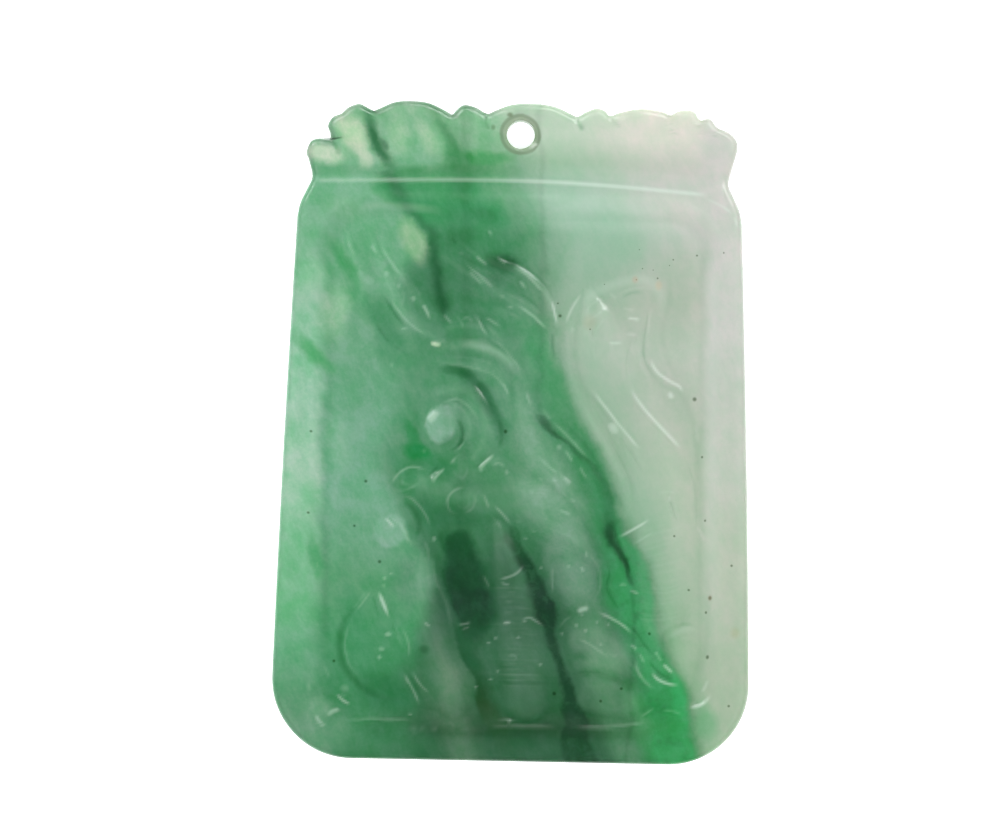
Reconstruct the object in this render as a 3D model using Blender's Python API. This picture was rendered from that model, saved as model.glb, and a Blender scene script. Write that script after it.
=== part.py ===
"""Jade plaque: a flat pendant tablet with a scalloped crest, a cord hole and a dragon carved in a sunk panel.

One solid stone, lying on its back. +Z leaves the carved front, +Y runs from the base to the crest and
+X is to the right as the front is seen. The origin is under the middle of the outline, on the flat back.
Sizes are in millimetres, and MM turns them into metres.
"""

import math

import bmesh
import bpy
from mathutils import Matrix

MM = 0.001

# Driving dimensions of the tablet
THICKNESS = 5.0
BASE_Y = -27.92           # lower edge
CORNER_RADIUS = 6.8       # the two lower corners
SIDE_LOW_Y = -21.1        # where the lower corners meet the sides
SIDE_HIGH_Y = 18.0        # where the sides meet the shoulders
HALF_WIDTH_LOW = 20.22
HALF_WIDTH_HIGH = 18.86
SIDE_BOW = 0.10           # how far the long sides swell past straight
SHOULDER_Y = 19.1         # where the sides start to turn in
SHOULDER_SET_IN = 0.23    # how far they have come in there
WAIST_Y = 21.35           # the narrowest place, between the tablet and its crest
WAIST_HALF_WIDTH = 17.66
WAIST_TURN = (0.42, 1.05)  # the last point over the waist: how far out of it, and how far below it
FRONT_ROUND = 0.4         # rounding of the front edge
BACK_ROUND = 0.3          # and of the back edge

# Crest: tops and notches of its scallops, from the left ear to the right one. A smooth curve joins them.
CREST = (
    (-17.98, 22.75), (-18.20, 23.40), (-17.85, 24.32), (-17.20, 24.58), (-16.62, 24.45),
    (-16.22, 24.48), (-16.22, 25.08), (-16.42, 25.70), (-16.02, 26.42), (-15.28, 26.75),
    (-14.72, 27.27), (-13.80, 27.60), (-13.15, 27.28), (-12.68, 27.02), (-12.05, 27.24),
    (-10.80, 27.80), (-9.30, 27.93), (-7.90, 27.78), (-6.60, 27.22), (-5.92, 26.84),
    (-5.52, 27.25), (-4.90, 27.68), (-3.90, 27.48), (-2.92, 26.98), (-2.20, 27.28),
    (-0.80, 27.78), (0.90, 27.90), (2.70, 27.70), (4.10, 27.12), (4.75, 26.88),
    (5.35, 27.22), (6.30, 27.60), (7.02, 27.42), (7.50, 26.98), (8.35, 27.30),
    (10.10, 27.64), (11.80, 27.46), (12.70, 27.15), (13.25, 27.48), (14.00, 27.60),
    (14.66, 27.44), (14.98, 26.92), (15.28, 26.76), (15.72, 26.94), (16.12, 26.80), (16.40, 26.38),
    (16.74, 26.10), (17.60, 25.76), (18.22, 25.12), (18.35, 24.30), (17.98, 22.85),
)
CREST_STEPS = 2

# Sunk panel and the moulding round it
PANEL_DEPTH = 0.85        # panel floor below the border
PANEL_COVE = 1.3          # radius of the cove that runs down to the floor
PANEL_HALF_WIDTH = 16.1
PANEL_LOW_Y = -24.6
PANEL_HIGH_Y = 18.4
PANEL_TAPER = 0.005       # narrowing of each side towards the crest, per mm of height
PANEL_CORNER = 3.2
CREST_GROOVE_Y = 22.45    # hollow that parts the crest from the border
CREST_GROOVE_RADIUS = 1.6
CREST_GROOVE_DEPTH = 0.45
CREST_GROOVE_BOW = 0.35   # the hollow droops towards its ends

# Cord hole and its worn mouth
HOLE_X, HOLE_Y = -0.06, 25.26
HOLE_RADIUS = 1.13
MOUTH_SHIFT = 0.18        # the cord has worn the mouth to the right of the drilling
MOUTH_RADIUS = 1.75
MOUTH_DEPTH = 0.7         # how deep the worn cone goes before it meets the drilling
MOUTH_INSET = 0.1         # the cone's tip is this much narrower than the drilling

# Relief in the panel
FLOOR_Z = THICKNESS - PANEL_DEPTH
ROOT = 0.5                # how far each carved form starts below the panel floor
OVERRUN = 1.0             # how far a cutter goes on past the surface that it cuts

# Long carved forms: each one's height over the panel floor, then (x, y, half width) along it
RIBBONS = {
    "tail": (0.80, ((6.3, 12.2, 0.8), (6.9, 9.0, 2.9), (7.6, 4.4, 3.3), (10.6, 0.4, 3.3),
                    (12.6, -4.2, 3.1), (12.6, -9.4, 3.2), (12.3, -13.6, 2.9), (12.0, -15.4, 2.2))),
    "tail_end": (0.72, ((14.4, -15.6, 1.2), (14.5, -17.6, 1.9), (14.6, -19.6, 1.7), (14.9, -21.0, 0.8))),
    "neck": (0.76, ((-1.6, -6.5, 1.6), (-0.9, -10.2, 2.2), (0.0, -14.2, 2.7), (0.6, -18.6, 2.9),
                    (1.2, -22.2, 2.7), (1.7, -24.6, 2.2))),
    "shoulder": (0.66, ((-7.6, -10.4, 0.8), (-7.3, -13.5, 2.1), (-6.6, -17.2, 1.9), (-5.4, -20.6, 1.9),
                        (-4.6, -24.2, 1.7))),
    "haunch": (0.64, ((6.0, -16.0, 1.0), (7.2, -18.4, 2.6), (7.9, -21.6, 2.9), (8.4, -24.2, 2.2))),
    "foreleg": (0.80, ((5.6, -14.6, 0.8), (7.8, -15.5, 1.1), (10.2, -17.0, 1.0), (12.1, -19.2, 0.8),
                       (13.9, -20.9, 0.3))),
    "claw": (0.70, ((9.9, -18.0, 0.4), (10.9, -19.6, 0.7), (11.9, -21.2, 0.5), (12.4, -21.9, 0.2))),
    "mane": (0.74, ((-0.6, -4.6, 1.0), (2.2, -5.6, 2.6), (4.6, -7.8, 2.6), (6.0, -10.2, 1.3))),
    "cheek": (0.72, ((0.4, 3.6, 0.7), (0.9, 0.6, 1.7), (2.8, -2.2, 1.7), (5.2, -5.2, 1.2), (6.6, -8.0, 0.5))),
    "muzzle": (0.78, ((-10.2, -4.7, 0.7), (-8.2, -4.7, 1.7), (-5.4, -5.2, 2.6), (-2.6, -5.4, 2.4),
                      (-0.6, -5.6, 1.4))),
    "jaw": (0.66, ((-9.9, -10.2, 0.6), (-7.6, -10.0, 1.2), (-5.4, -8.6, 1.6), (-3.6, -7.4, 1.6))),
    "snout_curl": (0.76, ((-7.5, 2.1, 0.5), (-5.6, 3.2, 0.9), (-3.5, 2.6, 1.1), (-2.6, 0.6, 1.1),
                          (-2.9, -1.6, 0.9), (-3.6, -3.2, 0.7))),
    "brow": (0.74, ((-6.9, -3.6, 0.4), (-4.8, -3.1, 0.8), (-2.6, -3.0, 0.8), (-0.6, -3.2, 0.4))),
    "horn": (0.78, ((0.4, 3.4, 0.7), (-1.0, 5.2, 1.2), (-3.4, 6.6, 1.3), (-6.4, 7.4, 1.1),
                    (-8.8, 8.8, 0.9), (-11.0, 11.4, 0.5))),
    "horn_fork": (0.66, ((-6.2, 8.2, 0.4), (-8.0, 10.2, 0.9), (-9.6, 12.0, 0.8), (-11.4, 14.6, 0.6),
                         (-12.6, 16.4, 0.3))),
    "lock_low": (0.70, ((-2.6, 7.8, 0.4), (-4.2, 9.2, 1.0), (-6.6, 9.4, 0.8), (-7.9, 11.0, 0.4))),
    "lock_mid": (0.72, ((2.6, 8.6, 0.4), (0.6, 10.6, 0.9), (-2.0, 12.4, 1.0), (-5.0, 14.4, 0.8),
                        (-7.4, 15.6, 0.4))),
    "lock_high": (0.74, ((3.3, 9.2, 0.4), (2.2, 11.8, 0.9), (0.0, 13.6, 0.8), (-2.6, 14.6, 0.6),
                         (-4.4, 16.0, 0.3))),
    "lock_left": (0.60, ((-12.0, 11.0, 0.4), (-13.2, 13.0, 0.9), (-14.4, 15.6, 0.4))),
    "pearl": (0.68, ((-11.9, -13.4, 0.3), (-12.0, -15.6, 1.5), (-11.6, -18.2, 2.4), (-11.0, -20.6, 2.3),
                     (-10.4, -22.4, 1.2), (-9.9, -23.2, 0.4))),
    "flame": (0.56, ((-14.6, -16.2, 0.3), (-14.9, -18.6, 0.5), (-14.3, -21.0, 0.7), (-14.0, -22.6, 0.5))),
}
RIBBON_STEPS = 3          # rings between two neighbouring points
RIBBON_SIDES = 2          # bevel resolution, which gives eight sides

# Round carved forms: x, y, half length along x, half length along y, height
BOSSES = {
    "snout_ball": (-6.45, 0.45, 1.5, 1.45, 0.82),
    "nostril_ball": (-10.5, -8.6, 1.5, 1.4, 0.78),
    "eye": (-4.6, -5.8, 1.15, 1.1, 0.84),
    "elbow": (4.9, -12.3, 2.1, 1.9, 0.80),
}


def smooth_path(points, steps):
    """Rounds the way through a few points with a Catmull-Rom curve."""
    ends = [[2 * a - b for a, b in zip(points[i], points[j])] for i, j in ((0, 1), (-1, -2))]
    knots = [ends[0], *points, ends[1]]
    path = []
    for before, start, end, after in zip(knots, knots[1:], knots[2:], knots[3:]):
        for step in range(steps):
            t = step / steps
            path.append([
                0.5 * (2 * b + (c - a) * t + (2 * a - 5 * b + 4 * c - d) * t**2
                       + (3 * b - a - 3 * c + d) * t**3)
                for a, b, c, d in zip(before, start, end, after)
            ])
    path.append(list(points[-1]))
    return path


def arc(centre_x, centre_y, radius, start, end, steps):
    """Points of a circular arc, angles in degrees."""
    angles = [math.radians(start + (end - start) * i / steps) for i in range(steps + 1)]
    return [(centre_x + radius * math.cos(a), centre_y + radius * math.sin(a)) for a in angles]


def side_half_width(y):
    """Half the width of the tablet between its lower corners and its shoulders."""
    t = (y - SIDE_LOW_Y) / (SIDE_HIGH_Y - SIDE_LOW_Y)
    return HALF_WIDTH_LOW + (HALF_WIDTH_HIGH - HALF_WIDTH_LOW) * t + SIDE_BOW * math.sin(math.pi * t)


def tablet_outline():
    """The whole outline, anticlockwise from the lower left."""
    corner_x = HALF_WIDTH_LOW - CORNER_RADIUS
    right = arc(corner_x, BASE_Y + CORNER_RADIUS, CORNER_RADIUS, -90, 0, 9)
    side_steps = 10
    for i in range(1, side_steps + 1):
        y = SIDE_LOW_Y + (SIDE_HIGH_Y - SIDE_LOW_Y) * i / side_steps
        right.append((side_half_width(y), y))
    left = [(-x, y) for x, y in reversed(right)]
    out, down = WAIST_TURN
    waist = [(HALF_WIDTH_HIGH - SHOULDER_SET_IN, SHOULDER_Y),
             (WAIST_HALF_WIDTH + out, WAIST_Y - down),
             (WAIST_HALF_WIDTH, WAIST_Y)]
    top = [right[-1], *waist, *reversed(CREST), *((-x, y) for x, y in reversed(waist)), left[0]]
    crest = [tuple(p) for p in smooth_path(top, CREST_STEPS)]
    return right + crest[1:-1] + left


def panel_outline():
    """The floor of the sunk panel: a tapered oblong with round corners."""
    def half(y):
        return PANEL_HALF_WIDTH - PANEL_TAPER * (y - PANEL_LOW_Y)

    low, high = PANEL_LOW_Y + PANEL_CORNER, PANEL_HIGH_Y - PANEL_CORNER
    right = arc(half(low) - PANEL_CORNER, low, PANEL_CORNER, -90, 0, 6)
    right += arc(half(high) - PANEL_CORNER, high, PANEL_CORNER, 0, 90, 6)
    return right + [(-x, y) for x, y in reversed(right)]


def place(obj, collection):
    """Moves an object into one collection and out of every other."""
    for other in obj.users_collection:
        other.objects.unlink(obj)
    collection.objects.link(obj)
    return obj


def as_mesh(curve, collection):
    """Turns a curve into a welded mesh object in its place."""
    name = curve.name
    bpy.context.view_layer.update()
    evaluated = curve.evaluated_get(bpy.context.evaluated_depsgraph_get())
    mesh = bpy.data.meshes.new_from_object(evaluated)
    mesh.transform(curve.matrix_world)
    bpy.data.objects.remove(curve)
    work = bmesh.new()
    work.from_mesh(mesh)
    bmesh.ops.remove_doubles(work, verts=work.verts, dist=0.001 * MM)
    bmesh.ops.recalc_face_normals(work, faces=work.faces)
    work.to_mesh(mesh)
    work.free()
    made = bpy.data.objects.new(name, mesh)
    collection.objects.link(made)
    return made


def flat_curve(name, outline, thickness, cove=0.0, middle_z=0.0):
    """A filled closed outline. A cove rounds both of its rims outwards from the outline."""
    data = bpy.data.curves.new(name, "CURVE")
    data.dimensions = "2D"
    data.fill_mode = "BOTH"
    data.bevel_depth = cove * MM
    data.bevel_resolution = 2
    data.extrude = (thickness / 2 - cove) * MM
    spline = data.splines.new("POLY")
    spline.points.add(len(outline) - 1)
    for point, (x, y) in zip(spline.points, outline):
        point.co = (x * MM, y * MM, 0, 1)
    spline.use_cyclic_u = True
    made = bpy.data.objects.new(name, data)
    made.location.z = middle_z * MM
    bpy.context.scene.collection.objects.link(made)
    return made


def tube_curve(name, path, sides=RIBBON_SIDES):
    """A tube through points of (x, y, z, radius)."""
    data = bpy.data.curves.new(name, "CURVE")
    data.dimensions = "3D"
    data.bevel_depth = MM
    data.bevel_resolution = sides
    data.use_fill_caps = True
    spline = data.splines.new("POLY")
    spline.points.add(len(path) - 1)
    for point, (x, y, z, radius) in zip(spline.points, path):
        point.co = (x * MM, y * MM, z * MM, 1)
        point.radius = radius
    made = bpy.data.objects.new(name, data)
    bpy.context.scene.collection.objects.link(made)
    return made


def make_tablet(collection):
    """The slab, with its caps made one face each so that both rims bevel evenly."""
    slab = as_mesh(flat_curve("plaque", tablet_outline(), THICKNESS, middle_z=THICKNESS / 2), collection)
    work = bmesh.new()
    work.from_mesh(slab.data)
    for side in (1, -1):
        work.normal_update()
        cap = [f for f in work.faces if f.normal.z * side > 0.9]
        bmesh.ops.dissolve_faces(work, faces=cap)
    for height, width, segments in ((THICKNESS, FRONT_ROUND, 3), (0, BACK_ROUND, 2)):
        rim = [e for e in work.edges if all(abs(v.co.z - height * MM) < 0.01 * MM for v in e.verts)]
        bmesh.ops.bevel(work, geom=rim, offset=width * MM, segments=segments, profile=0.5,
                        affect="EDGES", offset_type="OFFSET", clamp_overlap=False)
    bmesh.ops.triangulate(work, faces=[f for f in work.faces if len(f.verts) > 4])
    work.to_mesh(slab.data)
    work.free()
    return slab


def make_panel_cutter(collection):
    """The sunk panel's floor, with a cove up to the border."""
    tall = 2 * (PANEL_COVE + OVERRUN)
    curve = flat_curve("panel_cutter", panel_outline(), tall, PANEL_COVE, FLOOR_Z + tall / 2)
    return as_mesh(curve, collection)


def make_groove_cutter(collection):
    """A rod that hollows the front between the border and the crest."""
    steps, reach = 16, WAIST_HALF_WIDTH + 3 * OVERRUN
    above = CREST_GROOVE_RADIUS - CREST_GROOVE_DEPTH
    path = []
    for i in range(steps + 1):
        x = -reach + 2 * reach * i / steps
        y = CREST_GROOVE_Y - CREST_GROOVE_BOW * (x / WAIST_HALF_WIDTH) ** 2
        path.append((x, y, THICKNESS + above, CREST_GROOVE_RADIUS))
    return as_mesh(tube_curve("crest_groove_cutter", path, sides=4), collection)


def make_hole_cutters(collection):
    """The drilled cord hole, and the cone that the cord has worn at its front mouth."""
    bpy.ops.mesh.primitive_cylinder_add(
        vertices=32, radius=HOLE_RADIUS * MM, depth=(THICKNESS + 2 * OVERRUN) * MM,
        location=(HOLE_X * MM, HOLE_Y * MM, THICKNESS / 2 * MM))
    drill = bpy.context.object
    drill.name = "hole_cutter"
    slope = (MOUTH_RADIUS - HOLE_RADIUS) / MOUTH_DEPTH
    low, high = THICKNESS - MOUTH_DEPTH, THICKNESS + OVERRUN
    bpy.ops.mesh.primitive_cone_add(
        vertices=32, radius1=(HOLE_RADIUS - MOUTH_INSET) * MM, radius2=(MOUTH_RADIUS + OVERRUN * slope) * MM,
        depth=(high - low) * MM,
        location=((HOLE_X + MOUTH_SHIFT) * MM, HOLE_Y * MM, (low + high) / 2 * MM))
    mouth = bpy.context.object
    mouth.name = "mouth_cutter"
    return [place(drill, collection), place(mouth, collection)]


def make_ribbon(name, height, points, collection):
    """A carved form with a low rounded back, from a tube pressed flat and let into the panel floor."""
    path = [(x, y, 0, half) for x, y, half in smooth_path(points, RIBBON_STEPS)]
    ribbon = as_mesh(tube_curve(name, path), collection)
    widest = max(half for _, _, half in points)
    press = (height + ROOT) / widest
    ribbon.data.transform(Matrix.Diagonal((1, 1, press, 1)))
    ribbon.data.transform(Matrix.Translation((0, 0, (FLOOR_Z - ROOT) * MM)))
    return ribbon


def make_boss(name, x, y, half_x, half_y, height, collection):
    """A low dome let into the panel floor."""
    bpy.ops.mesh.primitive_uv_sphere_add(segments=16, ring_count=8, radius=MM)
    boss = bpy.context.object
    boss.name = name
    boss.data.transform(Matrix.Diagonal((half_x, half_y, height + ROOT, 1)))
    boss.data.transform(Matrix.Translation((x * MM, y * MM, (FLOOR_Z - ROOT) * MM)))
    return place(boss, collection)


def jade():
    """Polished green and white jadeite."""
    material = bpy.data.materials.new("jade")
    material.use_nodes = True
    shader = material.node_tree.nodes["Principled BSDF"]
    shader.inputs["Base Color"].default_value = (0.16, 0.42, 0.24, 1)
    shader.inputs["Roughness"].default_value = 0.2
    shader.inputs["Metallic"].default_value = 0.0
    return material


for old in list(bpy.data.objects):
    bpy.data.objects.remove(old)
stone = bpy.data.collections.new("jade_plaque")
tools = bpy.data.collections.new("carving_forms")
for group in (stone, tools):
    bpy.context.scene.collection.children.link(group)

plaque = make_tablet(stone)
steps = [(make_panel_cutter(tools), "DIFFERENCE"), (make_groove_cutter(tools), "DIFFERENCE")]
for form, (form_height, form_points) in RIBBONS.items():
    steps.append((make_ribbon(form, form_height, form_points, tools), "UNION"))
for form, (form_x, form_y, half_x, half_y, form_height) in BOSSES.items():
    steps.append((make_boss(form, form_x, form_y, half_x, half_y, form_height, tools), "UNION"))
steps += [(cutter, "DIFFERENCE") for cutter in make_hole_cutters(tools)]

for tool, operation in steps:
    tool.hide_render = True
    tool.display_type = "WIRE"
    cut = plaque.modifiers.new(tool.name, "BOOLEAN")
    cut.object = tool
    cut.operation = operation
    cut.solver = "EXACT"

plaque.data.materials.append(jade())
plaque.data.shade_smooth()
plaque.data.set_sharp_from_angle(angle=math.radians(35))
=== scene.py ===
"""Jade plaque: a carved pendant tablet of green and white jadeite, lying on its back."""

import math

import bmesh
import bpy
import numpy as np
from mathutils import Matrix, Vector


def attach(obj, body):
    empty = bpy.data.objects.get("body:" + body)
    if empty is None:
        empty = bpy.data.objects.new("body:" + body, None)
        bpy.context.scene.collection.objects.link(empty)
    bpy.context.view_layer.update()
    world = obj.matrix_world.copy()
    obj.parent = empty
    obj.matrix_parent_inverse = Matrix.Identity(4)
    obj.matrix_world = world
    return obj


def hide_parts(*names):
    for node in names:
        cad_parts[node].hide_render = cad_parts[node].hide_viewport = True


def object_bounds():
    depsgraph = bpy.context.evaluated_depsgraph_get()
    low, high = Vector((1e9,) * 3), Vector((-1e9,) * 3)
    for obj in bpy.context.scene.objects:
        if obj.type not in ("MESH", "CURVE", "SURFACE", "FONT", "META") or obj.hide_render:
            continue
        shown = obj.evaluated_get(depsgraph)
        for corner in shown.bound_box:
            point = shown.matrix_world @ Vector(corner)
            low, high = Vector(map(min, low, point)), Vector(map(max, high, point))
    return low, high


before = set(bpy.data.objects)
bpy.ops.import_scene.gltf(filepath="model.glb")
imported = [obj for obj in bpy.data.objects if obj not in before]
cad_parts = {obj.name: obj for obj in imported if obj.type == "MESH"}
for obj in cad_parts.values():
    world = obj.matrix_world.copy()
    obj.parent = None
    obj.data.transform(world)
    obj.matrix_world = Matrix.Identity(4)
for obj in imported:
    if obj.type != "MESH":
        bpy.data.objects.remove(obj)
cad_low, cad_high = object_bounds()


# ---- The table it lies on, the light and the camera ------------------------------------------------------
# A pale table top under two large soft boxes behind the crest, with a weaker one at the base and one
# overhead for an even light. The camera looks straight down, turned by the small lean of the plaque.

MM = 0.001                         # a millimetre, as sizes in Blender are in metres
TABLE_SIZE = 3
TABLE_COLOUR = (0.86, 0.87, 0.88)
TABLE_GLOW = 0.85                  # light given back by the white room round it
UNDER_BACK = 0.02 * MM             # the polished back touches the table only here and there
CAMERA_HEIGHT = 0.6
VIEW_WIDTH = 84.7458 * MM          # what the frame's long side spans at the carved front
VIEW_CENTRE = (-1.328 * MM, 1.06 * MM)
LEAN = math.radians(1.15)

bpy.ops.object.select_all(action="DESELECT")
front_z = cad_high.z
bpy.ops.object.camera_add(location=(*VIEW_CENTRE, front_z + CAMERA_HEIGHT), rotation=(0, 0, LEAN))
camera = bpy.context.object
camera.name = "camera"
camera.data.sensor_width = 36
camera.data.lens = camera.data.sensor_width * CAMERA_HEIGHT / VIEW_WIDTH
camera.data.clip_start, camera.data.clip_end = 0.01, 10
bpy.context.scene.camera = camera

table_z = cad_low.z - UNDER_BACK
bpy.ops.mesh.primitive_grid_add(x_subdivisions=4, y_subdivisions=4, size=TABLE_SIZE,
                                location=(0, 0, table_z))
ground = bpy.context.object
ground.name = "ground"
table_top = bpy.data.materials.new("pale_table_top")
table_top.use_nodes = True
surface = table_top.node_tree.nodes["Principled BSDF"]
for name, value in (("Base Color", (*TABLE_COLOUR, 1)), ("Roughness", 0.9), ("Specular IOR Level", 0.1),
                    ("Emission Color", (1, 1, 1, 1)), ("Emission Strength", TABLE_GLOW)):
    surface.inputs[name].default_value = value
ground.data.materials.append(table_top)


def soft_box(name, azimuth, elevation, wide, high, radiance, mirrored=True):
    """A flat lamp that faces the plaque from that side and height, in degrees. The polish may mirror it."""
    a, e = math.radians(azimuth), math.radians(elevation)
    way = np.array((math.cos(a) * math.cos(e), math.sin(a) * math.cos(e), math.sin(e)))
    bpy.ops.object.light_add(type="AREA", location=way)
    lamp = bpy.context.object
    lamp.name = name
    lamp.rotation_euler = (math.pi / 2 - e, 0, a + math.pi / 2)
    lamp.data.shape = "RECTANGLE"
    lamp.data.size, lamp.data.size_y = wide, high
    lamp.data.energy = radiance * math.pi**2 * wide * high / 4
    lamp.visible_glossy = mirrored


soft_box("key_left", 133, 43, 0.6, 0.22, 9)
soft_box("key_right", 58, 43, 0.9, 0.22, 8)
soft_box("fill_base", -95, 44, 0.8, 0.3, 2, mirrored=False)
soft_box("overhead", -95, 70, 0.75, 0.75, 5.5, mirrored=False)


# The room is bright all round and dark overhead, so that no veil of it lies on the level polish
ROOM = 1.1
ROOM_OVERHEAD = 0.04
world = bpy.data.worlds.new("room")
bpy.context.scene.world = world
world.use_nodes = True
room_nodes, room_links = world.node_tree.nodes, world.node_tree.links
direction = room_nodes.new("ShaderNodeTexCoord")
upward = room_nodes.new("ShaderNodeSeparateXYZ")
room_links.new(direction.outputs["Generated"], upward.inputs[0])
fade = room_nodes.new("ShaderNodeMapRange")
fade.interpolation_type = "SMOOTHSTEP"
for name, value in (("From Min", 0.8), ("From Max", 0.97), ("To Min", ROOM), ("To Max", ROOM_OVERHEAD)):
    fade.inputs[name].default_value = value
room_links.new(upward.outputs["Z"], fade.inputs["Value"])
room_links.new(fade.outputs[0], room_nodes["Background"].inputs["Strength"])
bpy.context.scene.view_settings.view_transform = "Standard"
bpy.context.scene.view_settings.look = "None"


# ---- Plaque: the sawn tablet -----------------------------------------------------------------------------
# One flat tablet of jadeite about 5 mm thick. Its long sides open a little towards the base, the lower
# corners are round, and the crest is cut into uneven scallops between two ears. Sizes are in millimetres.

THICKNESS = (cad_high.z - cad_low.z) / MM
BASE_Y = cad_low.y / MM
CREST_Y = cad_high.y / MM
HALF_WIDTH_LOW = cad_high.x / MM
OPENING = 1.36          # how much further out each long side is at the base than under the crest
HALF_WIDTH_HIGH = HALF_WIDTH_LOW - OPENING
CORNER_RADIUS = 6.8
SIDE_LOW_Y = BASE_Y + CORNER_RADIUS
SIDE_HIGH_Y = 18
SIDE_BOW = 0.1
WAIST = ((HALF_WIDTH_HIGH - 0.23, 19.1), (18.08, 20.3), (17.66, 21.35))
CREST = (
    (-17.98, 22.75), (-18.2, 23.4), (-17.85, 24.32), (-17.2, 24.58), (-16.62, 24.45), (-16.22, 24.48),
    (-16.22, 25.08), (-16.42, 25.7), (-16.02, 26.42), (-15.28, 26.75), (-14.72, 27.27), (-13.8, 27.6),
    (-13.15, 27.28), (-12.68, 27.02), (-12.05, 27.24), (-10.8, 27.8), (-9.3, 27.93), (-7.9, 27.78),
    (-6.6, 27.22), (-5.92, 26.84), (-5.52, 27.25), (-4.9, 27.68), (-3.9, 27.48), (-2.92, 26.98),
    (-2.2, 27.28), (-0.8, 27.78), (0.9, 27.9), (2.7, 27.7), (4.1, 27.12), (4.75, 26.88), (5.35, 27.22),
    (6.3, 27.6), (7.02, 27.42), (7.5, 26.98), (8.35, 27.3), (10.1, 27.64), (11.8, 27.46), (12.7, 27.15),
    (13.25, 27.48), (14, 27.6), (14.66, 27.44), (14.98, 26.92), (15.28, 26.76), (15.72, 26.94),
    (16.12, 26.8), (16.4, 26.38), (16.74, 26.1), (17.6, 25.76), (18.22, 25.12), (18.35, 24.3),
    (17.98, 22.85))


def smooth(points, steps=8):
    """A Catmull-Rom curve through rows of numbers, as an array."""
    p = np.array(points, float)
    p = np.vstack([2 * p[0] - p[1], p, 2 * p[-1] - p[-2]])
    t = (np.arange(steps) / steps)[:, None]
    rows = [
        0.5 * (2 * b + (c - a) * t + (2 * a - 5 * b + 4 * c - d) * t**2 + (3 * b - a - 3 * c + d) * t**3)
        for a, b, c, d in zip(p, p[1:], p[2:], p[3:])
    ]
    return np.vstack([*rows, p[-2:-1]])


def spread(path, count):
    """That many points at equal steps along a path, without its last one."""
    steps = np.hypot(*np.diff(path, axis=0).T)
    gone = np.concatenate([[0], np.cumsum(steps)])
    at = np.linspace(0, gone[-1], count, endpoint=False)
    return np.column_stack([np.interp(at, gone, path[:, k]) for k in range(path.shape[1])])


def corner_arc(side, start, end):
    """A stretch of a lower corner, angles in degrees, on the right (side 1) or the left (side -1)."""
    a = np.radians(np.linspace(start, end, 24))
    x = HALF_WIDTH_LOW - CORNER_RADIUS + CORNER_RADIUS * np.cos(a)
    return np.column_stack([side * x, BASE_Y + CORNER_RADIUS + CORNER_RADIUS * np.sin(a)])


side_y = np.linspace(SIDE_LOW_Y, SIDE_HIGH_Y, 40)
side_share = (side_y - SIDE_LOW_Y) / (SIDE_HIGH_Y - SIDE_LOW_Y)
side_x = HALF_WIDTH_LOW + (HALF_WIDTH_HIGH - HALF_WIDTH_LOW) * side_share
side_x = side_x + SIDE_BOW * np.sin(math.pi * side_share)
straight = np.column_stack([side_x, side_y])
over_top = smooth([straight[-1], *WAIST, *reversed(CREST), *((-x, y) for x, y in reversed(WAIST)),
                   (-straight[-1, 0], straight[-1, 1])])
over_top[:, 1] = np.minimum(over_top[:, 1], CREST_Y)
right_ear = np.argmin(np.hypot(over_top[:, 0] - CREST[-1][0], over_top[:, 1] - CREST[-1][1]))
left_ear = np.argmin(np.hypot(over_top[:, 0] - CREST[0][0], over_top[:, 1] - CREST[0][1]))
mirrored = np.array((-1, 1))

# The outline as the four sides that a square grid's edge is stretched to: base, right, crest, left
base_side = np.vstack([corner_arc(-1, -45, -90), corner_arc(1, -90, -45)])
right_side = np.vstack([corner_arc(1, -45, 0)[:-1], straight[:-1], over_top[:right_ear + 1]])
crest_side = over_top[right_ear:left_ear + 1]
left_side = np.vstack([over_top[left_ear:], (straight[:-1] * mirrored)[::-1],
                       corner_arc(-1, 0, -45)[1:]])

FIELD_LOW_Y, FIELD_HIGH_Y = -24.9, 26.2      # what the even mesh covers: the carved part of the front
FIELD_CORNER_Y = 23.9                        # where its upper edge comes down to at the ears
FIELD_HALF_LOW, FIELD_HALF_HIGH = 17.5, 16.3
COLUMNS, ROWS = 226, 328
outline = np.vstack([spread(base_side, COLUMNS), spread(right_side, ROWS),
                     spread(crest_side, COLUMNS), spread(left_side, ROWS)])

bpy.ops.object.select_all(action="DESELECT")
bpy.ops.mesh.primitive_grid_add(x_subdivisions=COLUMNS, y_subdivisions=ROWS, size=1)
plaque = bpy.context.object
plaque.name = "jade_plaque"

# Each vertex of the grid's edge is numbered by its place round the edge, and extruding copies the number
grid = np.empty(len(plaque.data.vertices) * 3)
plaque.data.vertices.foreach_get("co", grid)
across, up = grid.reshape(-1, 3)[:, 0] + 0.5, grid.reshape(-1, 3)[:, 1] + 0.5
column, row = np.rint(across * COLUMNS).astype(int), np.rint(up * ROWS).astype(int)
numbers = np.select([row == 0, column == COLUMNS, row == ROWS, column == 0],
                    [column, COLUMNS + row, 2 * COLUMNS + ROWS - column, 2 * (COLUMNS + ROWS) - row], -1)
place = plaque.data.attributes.new("place", "INT", "POINT")
place.data.foreach_set("value", numbers % len(outline) * (numbers >= 0) - (numbers < 0))

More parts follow.
